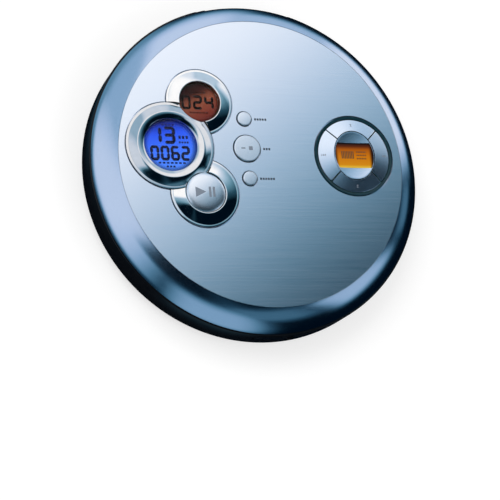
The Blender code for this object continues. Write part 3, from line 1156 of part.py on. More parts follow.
def build_chassis(mats):
    """Drive chassis: a plate with a window, an end wall and two brackets for the rails."""
    plate = box(CHASSIS_REAR_X, CHASSIS_FRONT_X, -CHASSIS_HALF_WIDTH, CHASSIS_HALF_WIDTH,
                CHASSIS_BOTTOM, CHASSIS_TOP)
    chassis = add_object(plate, "drive_chassis", mats["steel"])
    root = CHASSIS_TOP - CHASSIS_THICKNESS / 2
    top = CHASSIS_TOP + CHASSIS_WALL_HEIGHT
    window_end = LENS_INNER_X + SLED_HALF_LENGTH + SPINDLE_MOTOR_RADIUS / 2
    window = box(CHASSIS_WALL_X + CHASSIS_WALL, window_end, -CHASSIS_WINDOW_HALF_WIDTH,
                 CHASSIS_WINDOW_HALF_WIDTH, CHASSIS_BOTTOM - CUT_OVERRUN, CHASSIS_TOP + CUT_OVERRUN)
    cut(chassis, window, "chassis_window")
    wall = box(CHASSIS_REAR_X, CHASSIS_WALL_X, -CHASSIS_HALF_WIDTH, CHASSIS_HALF_WIDTH, root, top)
    fuse(chassis, wall, "chassis_wall")
    for label, y, x in (("rod", RAIL_Y, rod_bracket_x()), ("screw", -RAIL_Y, screw_bracket_x())):
        bracket = box(x, x + BRACKET_THICKNESS, y - BRACKET_HALF_WIDTH, y + BRACKET_HALF_WIDTH,
                      root, top)
        fuse(chassis, bracket, label + "_bracket")
        hole = rod_x(ROD_RADIUS + CLEARANCE, CHASSIS_REAR_X - CUT_OVERRUN, CHASSIS_FRONT_X,
                     y, RAIL_Z, 12)
        cut(chassis, hole, label + "_hole")
    return chassis


def rod_bracket_x():
    return -SPINDLE_MOTOR_RADIUS - BRACKET_THICKNESS - CLEARANCE


def screw_bracket_x():
    return -SPINDLE_MOTOR_RADIUS + CLEARANCE


def build_dampers(mats):
    """Rubber posts with a waist, which stand on the case floor under the chassis."""
    low = FLOOR_TOP + CLEARANCE
    high = CHASSIS_BOTTOM - CLEARANCE
    middle = (low + high) / 2
    for i, place in enumerate(damper_places()):
        shape = [(0.0, low), (DAMPER_RADIUS, low), (DAMPER_RADIUS - DAMPER_WAIST, middle),
                 (DAMPER_RADIUS, high), (0.0, high)]
        add_object(revolve(shape, SMALL_SEGMENTS, place), f"drive_damper_{i + 1}", mats["rubber"])


def build_rod(mats):
    end = rod_bracket_x() + BRACKET_THICKNESS
    return add_object(rod_x(ROD_RADIUS, CHASSIS_REAR_X, end, RAIL_Y, RAIL_Z, 12),
                      "guide_rod", mats["steel"])


def build_lead_screw(mats):
    """Lead screw with a rolled thread whose ridge climbs one pitch in each turn."""
    thread_start = CHASSIS_WALL_X + CLEARANCE
    thread_end = LENS_INNER_X + SLED_HALF_LENGTH + SCREW_PITCH
    rows = int((thread_end - thread_start) / SCREW_PITCH * THREAD_ROWS)
    plain = ROD_RADIUS
    stations = [(CHASSIS_REAR_X, None), (thread_start, None)]
    stations += [(thread_start + SCREW_PITCH * (i + 1) / THREAD_ROWS, i) for i in range(rows)]
    stations += [(thread_end + SCREW_PITCH / THREAD_ROWS, None),
                 (screw_bracket_x() + BRACKET_THICKNESS - CLEARANCE, None)]
    bm = bmesh.new()
    rings = []
    for x, row in stations:
        ring = []
        for k in range(THREAD_SEGMENTS):
            turn = math.tau * k / THREAD_SEGMENTS
            radius = plain
            if row is not None:
                phase = math.tau * row / THREAD_ROWS - turn
                radius = SCREW_THREAD_RADIUS - SCREW_THREAD_DEPTH * (1 - math.cos(phase)) / 2
            ring.append(bm.verts.new((x, -RAIL_Y + radius * math.cos(turn),
                                      RAIL_Z + radius * math.sin(turn))))
        rings.append(ring)
    for a, b in zip(rings, rings[1:]):
        for k in range(THREAD_SEGMENTS):
            j = (k + 1) % THREAD_SEGMENTS
            bm.faces.new((a[k], a[j], b[j], b[k]))
    bm.faces.new(rings[0])
    bm.faces.new(rings[-1])
    bmesh.ops.recalc_face_normals(bm, faces=bm.faces)
    return add_object(bm, "lead_screw", mats["steel"], Vector((thread_end, -RAIL_Y, RAIL_Z)))


def build_sled_motor(mats):
    start = screw_bracket_x() + BRACKET_THICKNESS + CLEARANCE
    can = rod_x(SLED_MOTOR_RADIUS, start, start + SLED_MOTOR_LENGTH, -RAIL_Y, RAIL_Z, 20)
    return add_object(can, "sled_motor", mats["steel"])


def build_sled(mats):
    """Pickup sled that rides on the rod and the lead screw, with its optical block."""
    x = LENS_INNER_X
    top = DECK_TOP - CLEARANCE - CLEARANCE
    body = box(x - SLED_HALF_LENGTH, x + SLED_HALF_LENGTH, -SLED_HALF_WIDTH, SLED_HALF_WIDTH,
               RAIL_Z - SLED_HALF_HEIGHT, RAIL_Z + SLED_HALF_HEIGHT)
    sled = add_object(body, "pickup_sled", mats["sled"], Vector((x, 0.0, RAIL_Z)))
    block = box(x - OPTIC_HALF_LENGTH, x + OPTIC_HALF_LENGTH, -OPTIC_HALF_WIDTH,
                OPTIC_HALF_WIDTH, RAIL_Z, top)
    fuse(sled, block, "optic_block")
    reach = SLED_HALF_LENGTH + CUT_OVERRUN
    cut(sled, rod_x(ROD_RADIUS + CLEARANCE, x - reach, x + reach, RAIL_Y, RAIL_Z, 12), "rod_bush")
    cut(sled, rod_x(SCREW_THREAD_RADIUS + CLEARANCE, x - reach, x + reach, -RAIL_Y, RAIL_Z, 12),
        "nut_bore")
    well = disc(OBJECTIVE_RADIUS + CLEARANCE, top - OBJECTIVE_WELL, top + CUT_OVERRUN,
                SMALL_SEGMENTS, (x, 0.0))
    cut(sled, well, "objective_well")
    low = top - OBJECTIVE_WELL + CLEARANCE
    crown = low + OBJECTIVE_RISE + CLEARANCE
    shoulder = (OBJECTIVE_RADIUS * OBJECTIVE_SHOULDER_SHARE, crown)
    lens = [(0.0, low), (OBJECTIVE_RADIUS, low)]
    lens += bend((OBJECTIVE_RADIUS, top), shoulder, (0.0, crown), 4)
    add_object(revolve(lens, SMALL_SEGMENTS, (x, 0.0)), "objective_lens", mats["objective"],
               Vector((x, 0.0, low)))
    return sled


def build_spindle(mats):
    """Spindle motor on the chassis, and the turning hub that grips the disc."""
    low = CHASSIS_TOP + CLEARANCE
    body_top = low + SPINDLE_MOTOR_HEIGHT
    neck_top = body_top + SPINDLE_NECK_HEIGHT
    shape = [(0.0, low), (SPINDLE_MOTOR_RADIUS, low), (SPINDLE_MOTOR_RADIUS, body_top),
             (SPINDLE_NECK_RADIUS, body_top), (SPINDLE_NECK_RADIUS, neck_top),
             (SPINDLE_SHAFT_RADIUS + CLEARANCE, neck_top),
             (SPINDLE_SHAFT_RADIUS + CLEARANCE, low + SPINDLE_SHAFT_SEAT),
             (0.0, low + SPINDLE_SHAFT_SEAT)]
    add_object(revolve(shape, BUTTON_SEGMENTS), "spindle_motor", mats["steel"])
    build_hub(mats, low + SPINDLE_SHAFT_SEAT + CLEARANCE, neck_top + CLEARANCE)


def build_hub(mats, shaft_low, boss_low):
    seat = DISC_SEAT_Z
    under = seat - TURNTABLE_THICKNESS
    boss = DISC_BORE_RADIUS - HUB_PLAY
    top = seat + HUB_HEIGHT
    shape = [(0.0, shaft_low), (SPINDLE_SHAFT_RADIUS, shaft_low), (SPINDLE_SHAFT_RADIUS, boss_low),
             (ROTOR_BOSS_RADIUS, boss_low), (ROTOR_BOSS_RADIUS, under), (TURNTABLE_RADIUS, under),
             (TURNTABLE_RADIUS, seat), (boss, seat), (boss, top - HUB_CHAMFER),
             (boss - HUB_CHAMFER, top), (0.0, top)]
    hub = add_object(revolve(shape, BUTTON_SEGMENTS), "spindle_hub", mats["black"],
                     Vector((0.0, 0.0, seat)))
    for i in range(GRIP_COUNT):
        turn = math.tau * (i + 0.5) / GRIP_COUNT
        place = Matrix.Translation(((boss - GRIP_RADIUS / 3) * math.cos(turn),
                                    (boss - GRIP_RADIUS / 3) * math.sin(turn),
                                    seat + DISC_THICKNESS + CLEARANCE))
        ball = bmesh.new()
        bmesh.ops.create_uvsphere(ball, u_segments=8, v_segments=6, radius=GRIP_RADIUS,
                                  matrix=place)
        fuse(hub, ball, f"grip_{i}")
    return hub


def build_cells(mats):
    """Two AA cells, side by side and turned opposite ways."""
    half_pitch = CELL_RADIUS + CLEARANCE / 2
    for name, side in (("cell_rear", 1), ("cell_front", -1)):
        y = BAY_Y + side * half_pitch
        body_half = CELL_LENGTH / 2
        shift = -side * CELL_NUB_LENGTH / 2
        cell = add_object(rod_x(CELL_RADIUS, shift - body_half, shift + body_half, y, CELL_Z, 20),
                          name, mats["cell"], Vector((0.0, y, CELL_Z)))
        nub_root = shift + side * (body_half - CELL_NUB_LENGTH)
        nub = rod_x(CELL_NUB_RADIUS, nub_root, shift + side * (body_half + CELL_NUB_LENGTH),
                    y, CELL_Z, 12)
        fuse(cell, nub, name + "_nub")


def build_contacts(mats):
    """Sprung contacts at the cells' ends: a bridge on the left and two terminals on the right."""
    half_pitch = CELL_RADIUS + CLEARANCE / 2
    cell_end = CELL_LENGTH / 2 + CELL_NUB_LENGTH / 2
    outer = BAY_HALF_LENGTH - CLEARANCE
    low, high = CELL_Z - CONTACT_HALF_HEIGHT, CELL_Z + CONTACT_HALF_HEIGHT
    inner = outer - CONTACT_THICKNESS
    span = half_pitch + CONTACT_HALF_WIDTH
    bridge = add_object(box(-outer, -inner, BAY_Y - span, BAY_Y + span, low, high),
                        "cell_bridge_contact", mats["contact"])
    for side, name in ((1, "rear"), (-1, "front")):
        y = BAY_Y + side * half_pitch
        tip = cell_end + CLEARANCE
        fuse(bridge, rod_x(CONTACT_BUMP_RADIUS, -outer + CONTACT_THICKNESS / 2, -tip, y, CELL_Z, 12),
             name + "_bridge_bump")
        plate = add_object(box(inner, outer, y - CONTACT_HALF_WIDTH, y + CONTACT_HALF_WIDTH,
                               low, high), "cell_terminal_" + name, mats["contact"])
        fuse(plate, rod_x(CONTACT_BUMP_RADIUS, tip, outer - CONTACT_THICKNESS / 2, y, CELL_Z, 12),
             name + "_terminal_bump")


def build_door(mats):
    """Cell door in the floor, hinged at its rear edge on two tabs inside the case."""
    front = BAY_Y - DOOR_HALF_DEPTH
    door = add_object(box(-DOOR_HALF_LENGTH, DOOR_HALF_LENGTH, front, DOOR_HINGE_Y,
                          FLOOR_BOTTOM, FLOOR_TOP), "battery_door", mats["band"],
                      Vector((0.0, DOOR_HINGE_Y, FLOOR_BOTTOM)))
    tab_low = FLOOR_TOP + CLEARANCE
    tab_high = tab_low + TAB_THICKNESS
    for side in (-1, 1):
        x0, x1 = side * TAB_X - TAB_WIDTH / 2, side * TAB_X + TAB_WIDTH / 2
        root = box(x0, x1, DOOR_HINGE_Y - TAB_ROOT, DOOR_HINGE_Y - CLEARANCE,
                   FLOOR_TOP - CASE_FLOOR / 2, tab_high)
        tongue = box(x0, x1, DOOR_HINGE_Y - TAB_ROOT, DOOR_HINGE_Y + TAB_REACH, tab_low, tab_high)
        fuse(door, root, f"tab_root_{side}")
        fuse(door, tongue, f"tab_tongue_{side}")
    return door


def build_lid(mats):
    """Everything that turns with the lid."""
    pieces = [build_lid_shell(mats), build_liner(mats), build_face(mats), build_key_board(mats)]
    pieces += build_pods(mats)
    pieces += build_display(mats, "main_display", MAIN_LENS_RADIUS, (MAIN_POD_X, MAIN_POD_Y),
                            FACE_Z + MAIN_LENS_RISE, "blue_cell", "glass")
    pieces += build_display(mats, "small_display", SMALL_LENS_RADIUS, (SMALL_POD_X, SMALL_POD_Y),
                            FACE_Z + SMALL_LENS_RISE, "copper_cell", "glass")
    pieces += build_pad(mats)
    return pieces


def build_base(mats):
    """Everything that stays with the case, and the small movers that it carries."""
    build_case(mats)
    build_feet(mats)
    build_screws(mats)
    build_deck(mats)
    build_main_board(mats)
    build_sockets(mats)
    build_slider(mats)
    build_hold_switch(mats)
    build_cells(mats)
    build_contacts(mats)
    build_door(mats)
    build_hinge_pin(mats)


def build_drive(mats):
    build_chassis(mats)
    build_dampers(mats)
    build_rod(mats)
    build_lead_screw(mats)
    build_sled_motor(mats)
    build_sled(mats)
    build_spindle(mats)


def main():
    clear_scene()
    mats = make_materials()
    build_base(mats)
    build_drive(mats)
    carry(build_lid(mats), "lid_hinge_axis", LID_AXIS)
    build_keys(mats)


main()
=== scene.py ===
# %% [markdown]
# # A round disc player, dressed over its CAD frame
# The imported CAD model gives every piece its place and its motion. This script gives each piece the shape and the
# finish that the eye expects: fine curves in place of facets, metal that reflects a studio, lit displays, and edges
# that catch the light. The frame is loaded first.

# %% Load the imported model
import math
import bmesh
import bpy
from mathutils import Matrix, Vector


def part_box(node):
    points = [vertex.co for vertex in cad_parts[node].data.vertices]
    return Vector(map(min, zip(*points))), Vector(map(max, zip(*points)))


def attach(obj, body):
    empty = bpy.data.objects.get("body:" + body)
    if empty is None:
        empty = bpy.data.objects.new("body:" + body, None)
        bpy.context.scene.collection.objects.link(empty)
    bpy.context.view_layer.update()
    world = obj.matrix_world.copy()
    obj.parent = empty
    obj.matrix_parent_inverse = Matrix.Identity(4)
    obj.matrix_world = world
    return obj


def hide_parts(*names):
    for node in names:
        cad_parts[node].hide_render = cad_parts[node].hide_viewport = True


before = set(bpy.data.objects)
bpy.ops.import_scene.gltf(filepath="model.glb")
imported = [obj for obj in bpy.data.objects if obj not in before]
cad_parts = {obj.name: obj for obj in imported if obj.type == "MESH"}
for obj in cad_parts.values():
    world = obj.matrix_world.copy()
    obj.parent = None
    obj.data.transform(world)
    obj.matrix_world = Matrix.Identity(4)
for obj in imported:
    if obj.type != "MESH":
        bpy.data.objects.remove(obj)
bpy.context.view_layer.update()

scene = bpy.context.scene
scene.view_settings.view_transform = "Standard"

# %% [markdown]
# ## The camera
# A photograph of a product is mostly taken with a long lens, so that circles stay calm ellipses. The three rows here
# are the camera's own axes, found by fitting one camera to all the circles on the face. A camera looks along its
# minus Z axis, so the axes and the place together make its matrix.

# %% Camera
camera_data = bpy.data.cameras.new("photo_camera")
camera_data.sensor_width = 36.0
camera_data.lens = 115.2
camera_data.clip_end = 20.0
camera = bpy.data.objects.new("photo_camera", camera_data)
scene.collection.objects.link(camera)
camera_axes = Matrix(((0.93841385, -0.09501670, 0.33219162),
                      (0.00074719, 0.96199961, 0.27304979),
                      (-0.34551250, -0.25598549, 0.90282476))).transposed()
camera.matrix_world = Matrix.Translation((-0.22641, -0.19740, 0.59188)) @ camera_axes.to_4x4()
scene.camera = camera
print("camera with a", camera_data.lens, "mm lens")

# %% [markdown]
# ## Helpers for node materials
# Writing a node tree by hand takes three lines for each node: make it, set it, wire it. One helper does all three.
# Where an input is given another node's socket, the two are wired. Where it is given a number, the number is set.

# %% Node helpers
def add(tree, kind, inputs, **settings):
    """Adds one node, sets its settings, and sets or wires its inputs."""
    made = tree.nodes.new(kind)
    for key, value in settings.items():
        setattr(made, key, value)
    for key, value in inputs.items():
        if isinstance(value, bpy.types.NodeSocket):
            tree.links.new(value, made.inputs[key])
        else:
            made.inputs[key].default_value = value
    return made


def seen(red, green, blue):
    """The linear colour of something that shows as this red, green and blue, from 0 to 255."""
    linear = [((c / 255 + 0.055) / 1.055) ** 2.4 if c > 10 else c / 255 / 12.92 for c in (red, green, blue)]
    return (*linear, 1.0)


def math_node(tree, operation, first, second=0.0):
    """One Math node, and its result."""
    return add(tree, "ShaderNodeMath", {0: first, 1: second}, operation=operation).outputs[0]


def vector_node(tree, operation, *values, result="Vector"):
    """One Vector Math node, and its result."""
    return add(tree, "ShaderNodeVectorMath", dict(enumerate(values)), operation=operation).outputs[result]


def mix_colours(tree, factor, first, second):
    """Runs from the first colour to the second while the factor goes from 0 to 1."""
    # inputs 6 and 7 and output 2 are this node's colours
    return add(tree, "ShaderNodeMix", {"Factor": factor, 6: first, 7: second}, data_type="RGBA").outputs[2]


def remap(tree, value, from_low, from_high, to_low=0.0, to_high=1.0, smooth=True):
    """Turns one range of a number into another, with soft ends."""
    kind = "SMOOTHSTEP" if smooth else "LINEAR"
    made = add(tree, "ShaderNodeMapRange", {"Value": value, "From Min": from_low, "From Max": from_high,
                                            "To Min": to_low, "To Max": to_high}, interpolation_type=kind)
    return made.outputs["Result"]


def ramp(tree, value, stops):
    """A colour ramp from a list of (position, colour)."""
    made = add(tree, "ShaderNodeValToRGB", {"Fac": value})
    elements = made.color_ramp.elements
    while len(elements) < len(stops):
        elements.new(0.5)
    for element, (position, colour) in zip(elements, stops):
        element.position = position
        element.color = colour
    return made.outputs["Color"]


print("node helpers ready")

# %% [markdown]
# ## From a shape to an object
# Shapes are made with bmesh, Blender's own workbench for meshes. A finished shape is written into a mesh, and the mesh
# gets an object, which has a place in the scene. Every mesh here goes through one function, so that none is forgotten.

# %% Object helper
def as_object(bm, name, material=None):
    """A mesh object in the scene, made from a shape that is used up."""
    mesh = bpy.data.meshes.new(name)
    bm.to_mesh(mesh)
    bm.free()
    if material:
        mesh.materials.append(material)
    made = bpy.data.objects.new(name, mesh)
    scene.collection.objects.link(made)
    return made


print("object helper ready")

# %% [markdown]
# ## Floor, room and lamps
# The room is plain white. World light and two broad lamps give soft, even light at a plain level, so a colour renders
# about as it is written. The floor is part paper, which takes the shadow, and part a faint glow for the camera and for
# glass, which brings the paper up to white. Metal doesn't see it, because metal gets cards of its own further down.
# The floor has one side only, so that the underside of the player can be looked at from below.

# %% Floor and room
def seen_directly(tree):
    """1 for a ray from the camera, from metal or from glass, and 0 for light that soft surfaces gather."""
    path = add(tree, "ShaderNodeLightPath", {})
    either = math_node(tree, "MAXIMUM", path.outputs["Is Camera Ray"], path.outputs["Is Glossy Ray"])
    return math_node(tree, "MAXIMUM", either, path.outputs["Is Transmission Ray"])


ROOM_LIGHT = 0.50
PAPER = 0.56
PAPER_GLOW = 0.60
FLOOR_SIZE = 4.0
FLOOR_DROP = 0.00005

world = bpy.data.worlds.new("white_room")
scene.world = world
world.use_nodes = True
room = world.node_tree
room_strength = remap(room, seen_directly(room), 0.0, 1.0, ROOM_LIGHT, 1.0, smooth=False)
room.links.new(room_strength, room.nodes["Background"].inputs["Strength"])
room.nodes["Background"].inputs["Color"].default_value = (1.0, 1.0, 1.0, 1.0)

paper = bpy.data.materials.new("white paper floor")
paper.use_nodes = True
tree = paper.node_tree
shader = tree.nodes["Principled BSDF"]
shader.inputs["Base Color"].default_value = (PAPER, PAPER, PAPER, 1.0)
shader.inputs["Roughness"].default_value = 1.0
shader.inputs["Specular IOR Level"].default_value = 0.0
shader.inputs["Emission Color"].default_value = (1.0, 1.0, 1.0, 1.0)
tree.links.new(math_node(tree, "MULTIPLY", seen_directly(tree), PAPER_GLOW), shader.inputs["Emission Strength"])
# clear from below, and clear to the light that soft surfaces gather
under = math_node(tree, "MAXIMUM", add(tree, "ShaderNodeNewGeometry", {}).outputs["Backfacing"],
                  add(tree, "ShaderNodeLightPath", {}).outputs["Is Diffuse Ray"])
one_sided = add(tree, "ShaderNodeMixShader", {0: under, 1: shader.outputs[0],
                                              2: add(tree, "ShaderNodeBsdfTransparent", {}).outputs[0]})
tree.links.new(one_sided.outputs[0], tree.nodes["Material Output"].inputs["Surface"])

bm = bmesh.new()
bmesh.ops.create_grid(bm, x_segments=1, y_segments=1, size=FLOOR_SIZE,
                      matrix=Matrix.Translation((0.0, 0.0, -FLOOR_DROP)))
floor = as_object(bm, "floor", paper)
floor.visible_glossy = False
print("floor and room made")


# %% Lamps
def lamp(name, place, size, watts, aim=(0.0, 0.0, 0.02)):
    """A square lamp that faces a point, and that metal doesn't show."""
    data = bpy.data.lights.new(name, "AREA")
    data.size = size
    data.energy = watts
    made = bpy.data.objects.new(name, data)
    made.location = place
    made.rotation_euler = (Vector(aim) - Vector(place)).to_track_quat("-Z", "Y").to_euler()
    made.visible_glossy = False
    scene.collection.objects.link(made)


lamp("soft_box_left", (-0.7, 0.5, 1.2), 0.9, 7.0)
lamp("soft_box_front", (0.5, -0.9, 0.9), 0.9, 3.0)
print("two soft lamps made")

# %% [markdown]
# ## What the metal sees
# Polished metal has almost no colour of its own: it shows the room. A photographer sets white and dark cards close
# round a shiny object to draw its shape. A sphere 90 cm across stands for those cards here. Only metal and gloss see
# it, and its brightness comes from the direction: soft bright lobes round the sides, a bright card overhead, and dark
# cards that cut into both. The sphere is near, so that its tones also run across a flat face.

# %% Cards round the object
CARD_RADIUS = 0.45
# each lobe: azimuth, brightness, inner and outer half-width in degrees, then the share that it keeps low down and the
# heights between which it comes in, then the share that it keeps high up and the heights between which it goes out
CARD_LOBES = (
    (175.0, 0.86, 8.0, 66.0, 0.15, -0.50, -0.05, 0.00, 0.93, 0.98),
    (124.0, 0.62, 15.0, 45.0, 0.68, -0.30, 0.30, 0.90, 0.80, 0.95),
    (92.0, 0.86, 10.0, 28.0, 0.00, -0.65, 0.42, 1.00, 0.90, 1.00),
    (64.0, 0.70, 8.0, 22.0, 0.00, -0.15, 0.30, 1.00, 0.90, 1.00),
    (35.0, 0.95, 10.0, 27.0, 0.00, -0.10, 0.22, 0.00, 0.54, 0.70),
    (3.0, 0.32, 3.0, 12.0, 0.00, 0.08, 0.28, 0.00, 0.40, 0.58),
    (-26.0, 0.68, 8.0, 22.0, 0.00, 0.12, 0.50, 0.00, 0.72, 0.84),
    (-70.0, 0.30, 12.0, 32.0, 0.00, 0.35, 0.62, 0.00, 0.77, 0.87),
    (-102.0, 0.57, 9.0, 34.0, 0.80, -0.45, -0.20, 0.15, 0.50, 0.95),
)
# from black through blue green to white
CARD_TINTS = ((0.0, (0.0, 0.004, 0.010, 1.0)), (0.2, (0.02, 0.075, 0.12, 1.0)), (0.4, (0.12, 0.285, 0.39, 1.0)),
              (0.6, (0.33, 0.52, 0.68, 1.0)), (0.8, (0.64, 0.76, 0.92, 1.0)), (1.0, (1.07, 1.09, 1.12, 1.0)))
NO_LIGHT_BELOW = (-0.85, -0.55)
# the card overhead: the azimuth that it leans toward, the leans between which it comes in, and its heights
OVERHEAD_AZIMUTH, OVERHEAD_LEANS, OVERHEAD_HEIGHTS = 125.0, (-0.24, 0.21), (0.50, 0.72)
# what trims it: azimuth, the leans toward it between which the trim works, and the share of light at each
OVERHEAD_TRIMS = ((262.0, -0.02, 0.20, 1.0, 0.05), (70.0, 0.03, 0.11, 0.0, 1.0), (160.0, 0.36, 0.48, 1.0, 0.62))
# two dark cards: azimuth, strength and half-widths as above, then heights and the card's share at each
LOW_DARK_CARD = ((205.0, 0.60, 14.0, 38.0), (-0.50, 0.10, 1.0, 0.0))
HIGH_DARK_CARD = ((238.0, 0.97, 14.0, 40.0), (0.68, 0.84, 0.0, 1.0))

cards = bpy.data.materials.new("studio cards")
cards.use_nodes = True
tree = cards.node_tree
tree.nodes.remove(tree.nodes["Principled BSDF"])
place = add(tree, "ShaderNodeTexCoord", {}).outputs["Object"]
toward = vector_node(tree, "NORMALIZE", place)
height = add(tree, "ShaderNodeSeparateXYZ", {0: toward}).outputs["Z"]
flat = vector_node(tree, "MULTIPLY", toward, (1.0, 1.0, 0.0))
bearing = vector_node(tree, "NORMALIZE", flat)


def card_facing(azimuth, along):
    """How far a direction leans toward an azimuth, from -1 to 1."""
    turn = math.radians(azimuth)
    return vector_node(tree, "DOT_PRODUCT", along, (math.cos(turn), math.sin(turn), 0.0), result="Value")


def card_lobe(azimuth, strength, inner, outer):
    """A number that is strength inside the inner half-width and 0 outside the outer one."""
    return remap(tree, card_facing(azimuth, bearing), math.cos(math.radians(outer)), math.cos(math.radians(inner)),
                 0.0, strength)


def times(*values):
    """Multiplies any number of values."""
    product = values[0]
    for value in values[1:]:
        product = math_node(tree, "MULTIPLY", product, value)
    return product


def behind(light, card, heights):
    """The light that is left behind a dark card, which works between two heights."""
    shade = times(card_lobe(*card), remap(tree, height, *heights))
    return times(light, math_node(tree, "SUBTRACT", 1.0, shade))


side_light = None
for azimuth, strength, inner, outer, low_share, low_0, low_1, high_share, high_0, high_1 in CARD_LOBES:
    lobe = times(card_lobe(azimuth, strength, inner, outer), remap(tree, height, low_0, low_1, low_share, 1.0),
                 remap(tree, height, high_0, high_1, 1.0, high_share))
    side_light = lobe if side_light is None else math_node(tree, "MAXIMUM", side_light, lobe)
side_light = behind(times(side_light, remap(tree, height, *NO_LIGHT_BELOW)), *LOW_DARK_CARD)
overhead = remap(tree, card_facing(OVERHEAD_AZIMUTH, flat), *OVERHEAD_LEANS, smooth=False)
for azimuth, *trim in OVERHEAD_TRIMS:
    overhead = times(overhead, remap(tree, card_facing(azimuth, flat), *trim))
overhead = times(overhead, remap(tree, height, *OVERHEAD_HEIGHTS))
light = behind(math_node(tree, "MAXIMUM", overhead, side_light), *HIGH_DARK_CARD)
glow = add(tree, "ShaderNodeEmission", {"Color": ramp(tree, light, CARD_TINTS), "Strength": 1.0})
tree.links.new(glow.outputs[0], tree.nodes["Material Output"].inputs["Surface"])

bm = bmesh.new()
bmesh.ops.create_uvsphere(bm, u_segments=64, v_segments=32, radius=CARD_RADIUS)
card_dome = as_object(bm, "studio_cards", cards)
for ray in ("camera", "diffuse", "transmission", "volume_scatter", "shadow"):
    setattr(card_dome, "visible_" + ray, False)
print("cards with", len(CARD_LOBES), "lobes")

# %% [markdown]
# ## Helpers for shapes
# Nearly every piece of this player is turned: a profile swept round an axis. So the main helper spins a profile.
# Lengths are in millimetres while a shape is made, which reads well and keeps cuts exact, and the finished mesh is
# scaled to metres. A cut or a join is a Boolean that is applied at once, so that no tool body is left behind.

# %% Shape helpers
MILLIMETRE = 0.001
WELD = 0.004
FINE = 192
MEDIUM = 96
SMALL = 48


def moved(bm, place):
    """Moves a shape in plan."""
    bmesh.ops.translate(bm, verts=bm.verts, vec=(place[0], place[1], 0.0))
    return bm


def swung(bm, turn):
    """Turns a shape about the vertical axis."""
    bmesh.ops.rotate(bm, verts=bm.verts, cent=(0, 0, 0), matrix=Matrix.Rotation(turn, 3, "Z"))
    return bm


def curve(start, corner, end, steps=16):
    """Points along a bend that leaves start and meets end while leaning toward corner."""
    points = []
    for i in range(steps + 1):
        t = i / steps
        points.append(tuple((1 - t) ** 2 * s + 2 * t * (1 - t) * k + t * t * e
                            for s, k, e in zip(start, corner, end)))
    return points


def turned(profile, centre=(0.0, 0.0), segments=MEDIUM):
    """Spins a profile of (radius, height) points about a vertical axis."""
    bm = bmesh.new()
    verts = [bm.verts.new((radius, 0.0, height)) for radius, height in profile]
    edges = [bm.edges.new(pair) for pair in zip(verts, verts[1:])]
    if profile[0][0] > 0.0 or profile[-1][0] > 0.0:
        edges.append(bm.edges.new((verts[-1], verts[0])))
    bmesh.ops.spin(bm, geom=verts + edges, cent=(0, 0, 0), axis=(0, 0, 1), dvec=(0, 0, 0), angle=math.tau,
                   steps=segments, use_merge=True, use_duplicate=False)
    bmesh.ops.remove_doubles(bm, verts=bm.verts, dist=WELD)
    bmesh.ops.dissolve_degenerate(bm, edges=bm.edges, dist=WELD)
    bmesh.ops.recalc_face_normals(bm, faces=bm.faces)
    return moved(bm, centre)


def slab(radius, low, high, centre=(0.0, 0.0), segments=MEDIUM):
    """A round disc between two heights."""
    return turned([(0.0, low), (radius, low), (radius, high), (0.0, high)], centre, segments)


def block(x0, x1, y0, y1, z0, z1):
    """A box from x0 to x1, from y0 to y1 and from z0 to z1."""
    bm = bmesh.new()
    size = Matrix.Diagonal((abs(x1 - x0), abs(y1 - y0), abs(z1 - z0), 1.0))
    middle = Matrix.Translation(((x0 + x1) / 2, (y0 + y1) / 2, (z0 + z1) / 2))
    bmesh.ops.create_cube(bm, size=1.0, matrix=middle @ size)
    return bm


def bar(radius, x0, x1, y, z):
    """A round bar along X."""
    bm = bmesh.new()
    place = Matrix.Translation(((x0 + x1) / 2, y, z)) @ Matrix.Rotation(math.pi / 2, 4, "Y")
    bmesh.ops.create_cone(bm, cap_ends=True, segments=SMALL, radius1=radius, radius2=radius,
                          depth=abs(x1 - x0), matrix=place)
    return bm


def prism(outline, low, high):
    """Extrudes a closed outline of (x, y) points upward."""
    bm = bmesh.new()
    face = bm.faces.new([bm.verts.new((x, y, low)) for x, y in outline])
    grown = bmesh.ops.extrude_face_region(bm, geom=[face])
    top = [item for item in grown["geom"] if isinstance(item, bmesh.types.BMVert)]
    bmesh.ops.translate(bm, verts=top, vec=(0.0, 0.0, high - low))
    bmesh.ops.recalc_face_normals(bm, faces=bm.faces)
    return bm


def together(*parts):
    """Puts several separate shapes into one mesh, without joining their surfaces."""
    whole = parts[0]
    for part in parts[1:]:
        mesh = bpy.data.meshes.new("loose")
        part.to_mesh(mesh)
        part.free()
        whole.from_mesh(mesh)
        bpy.data.meshes.remove(mesh)
    return whole


def boolean(bm, tool_bm, operation):
    """Cuts or joins two shapes with a Boolean and takes its result at once."""
    piece, tool = as_object(bm, "boolean_piece"), as_object(tool_bm, "boolean_tool")
    step = piece.modifiers.new("boolean", "BOOLEAN")
    step.operation, step.solver, step.object = operation, "EXACT", tool
    graph = bpy.context.evaluated_depsgraph_get()
    result = bmesh.new()
    result.from_object(piece, graph)
    for old in (piece, tool):
        mesh = old.data
        bpy.data.objects.remove(old)
        bpy.data.meshes.remove(mesh)
    bmesh.ops.remove_doubles(result, verts=result.verts, dist=0.0005)
    return result


def cut(bm, *tools):
    """Takes the tools away from a shape."""
    return boolean(bm, together(*tools), "DIFFERENCE")


def fuse(bm, *parts):
    """Joins parts to a shape, one after the other, into one surface."""
    for part in parts:
        bm = boolean(bm, part, "UNION")
    return bm


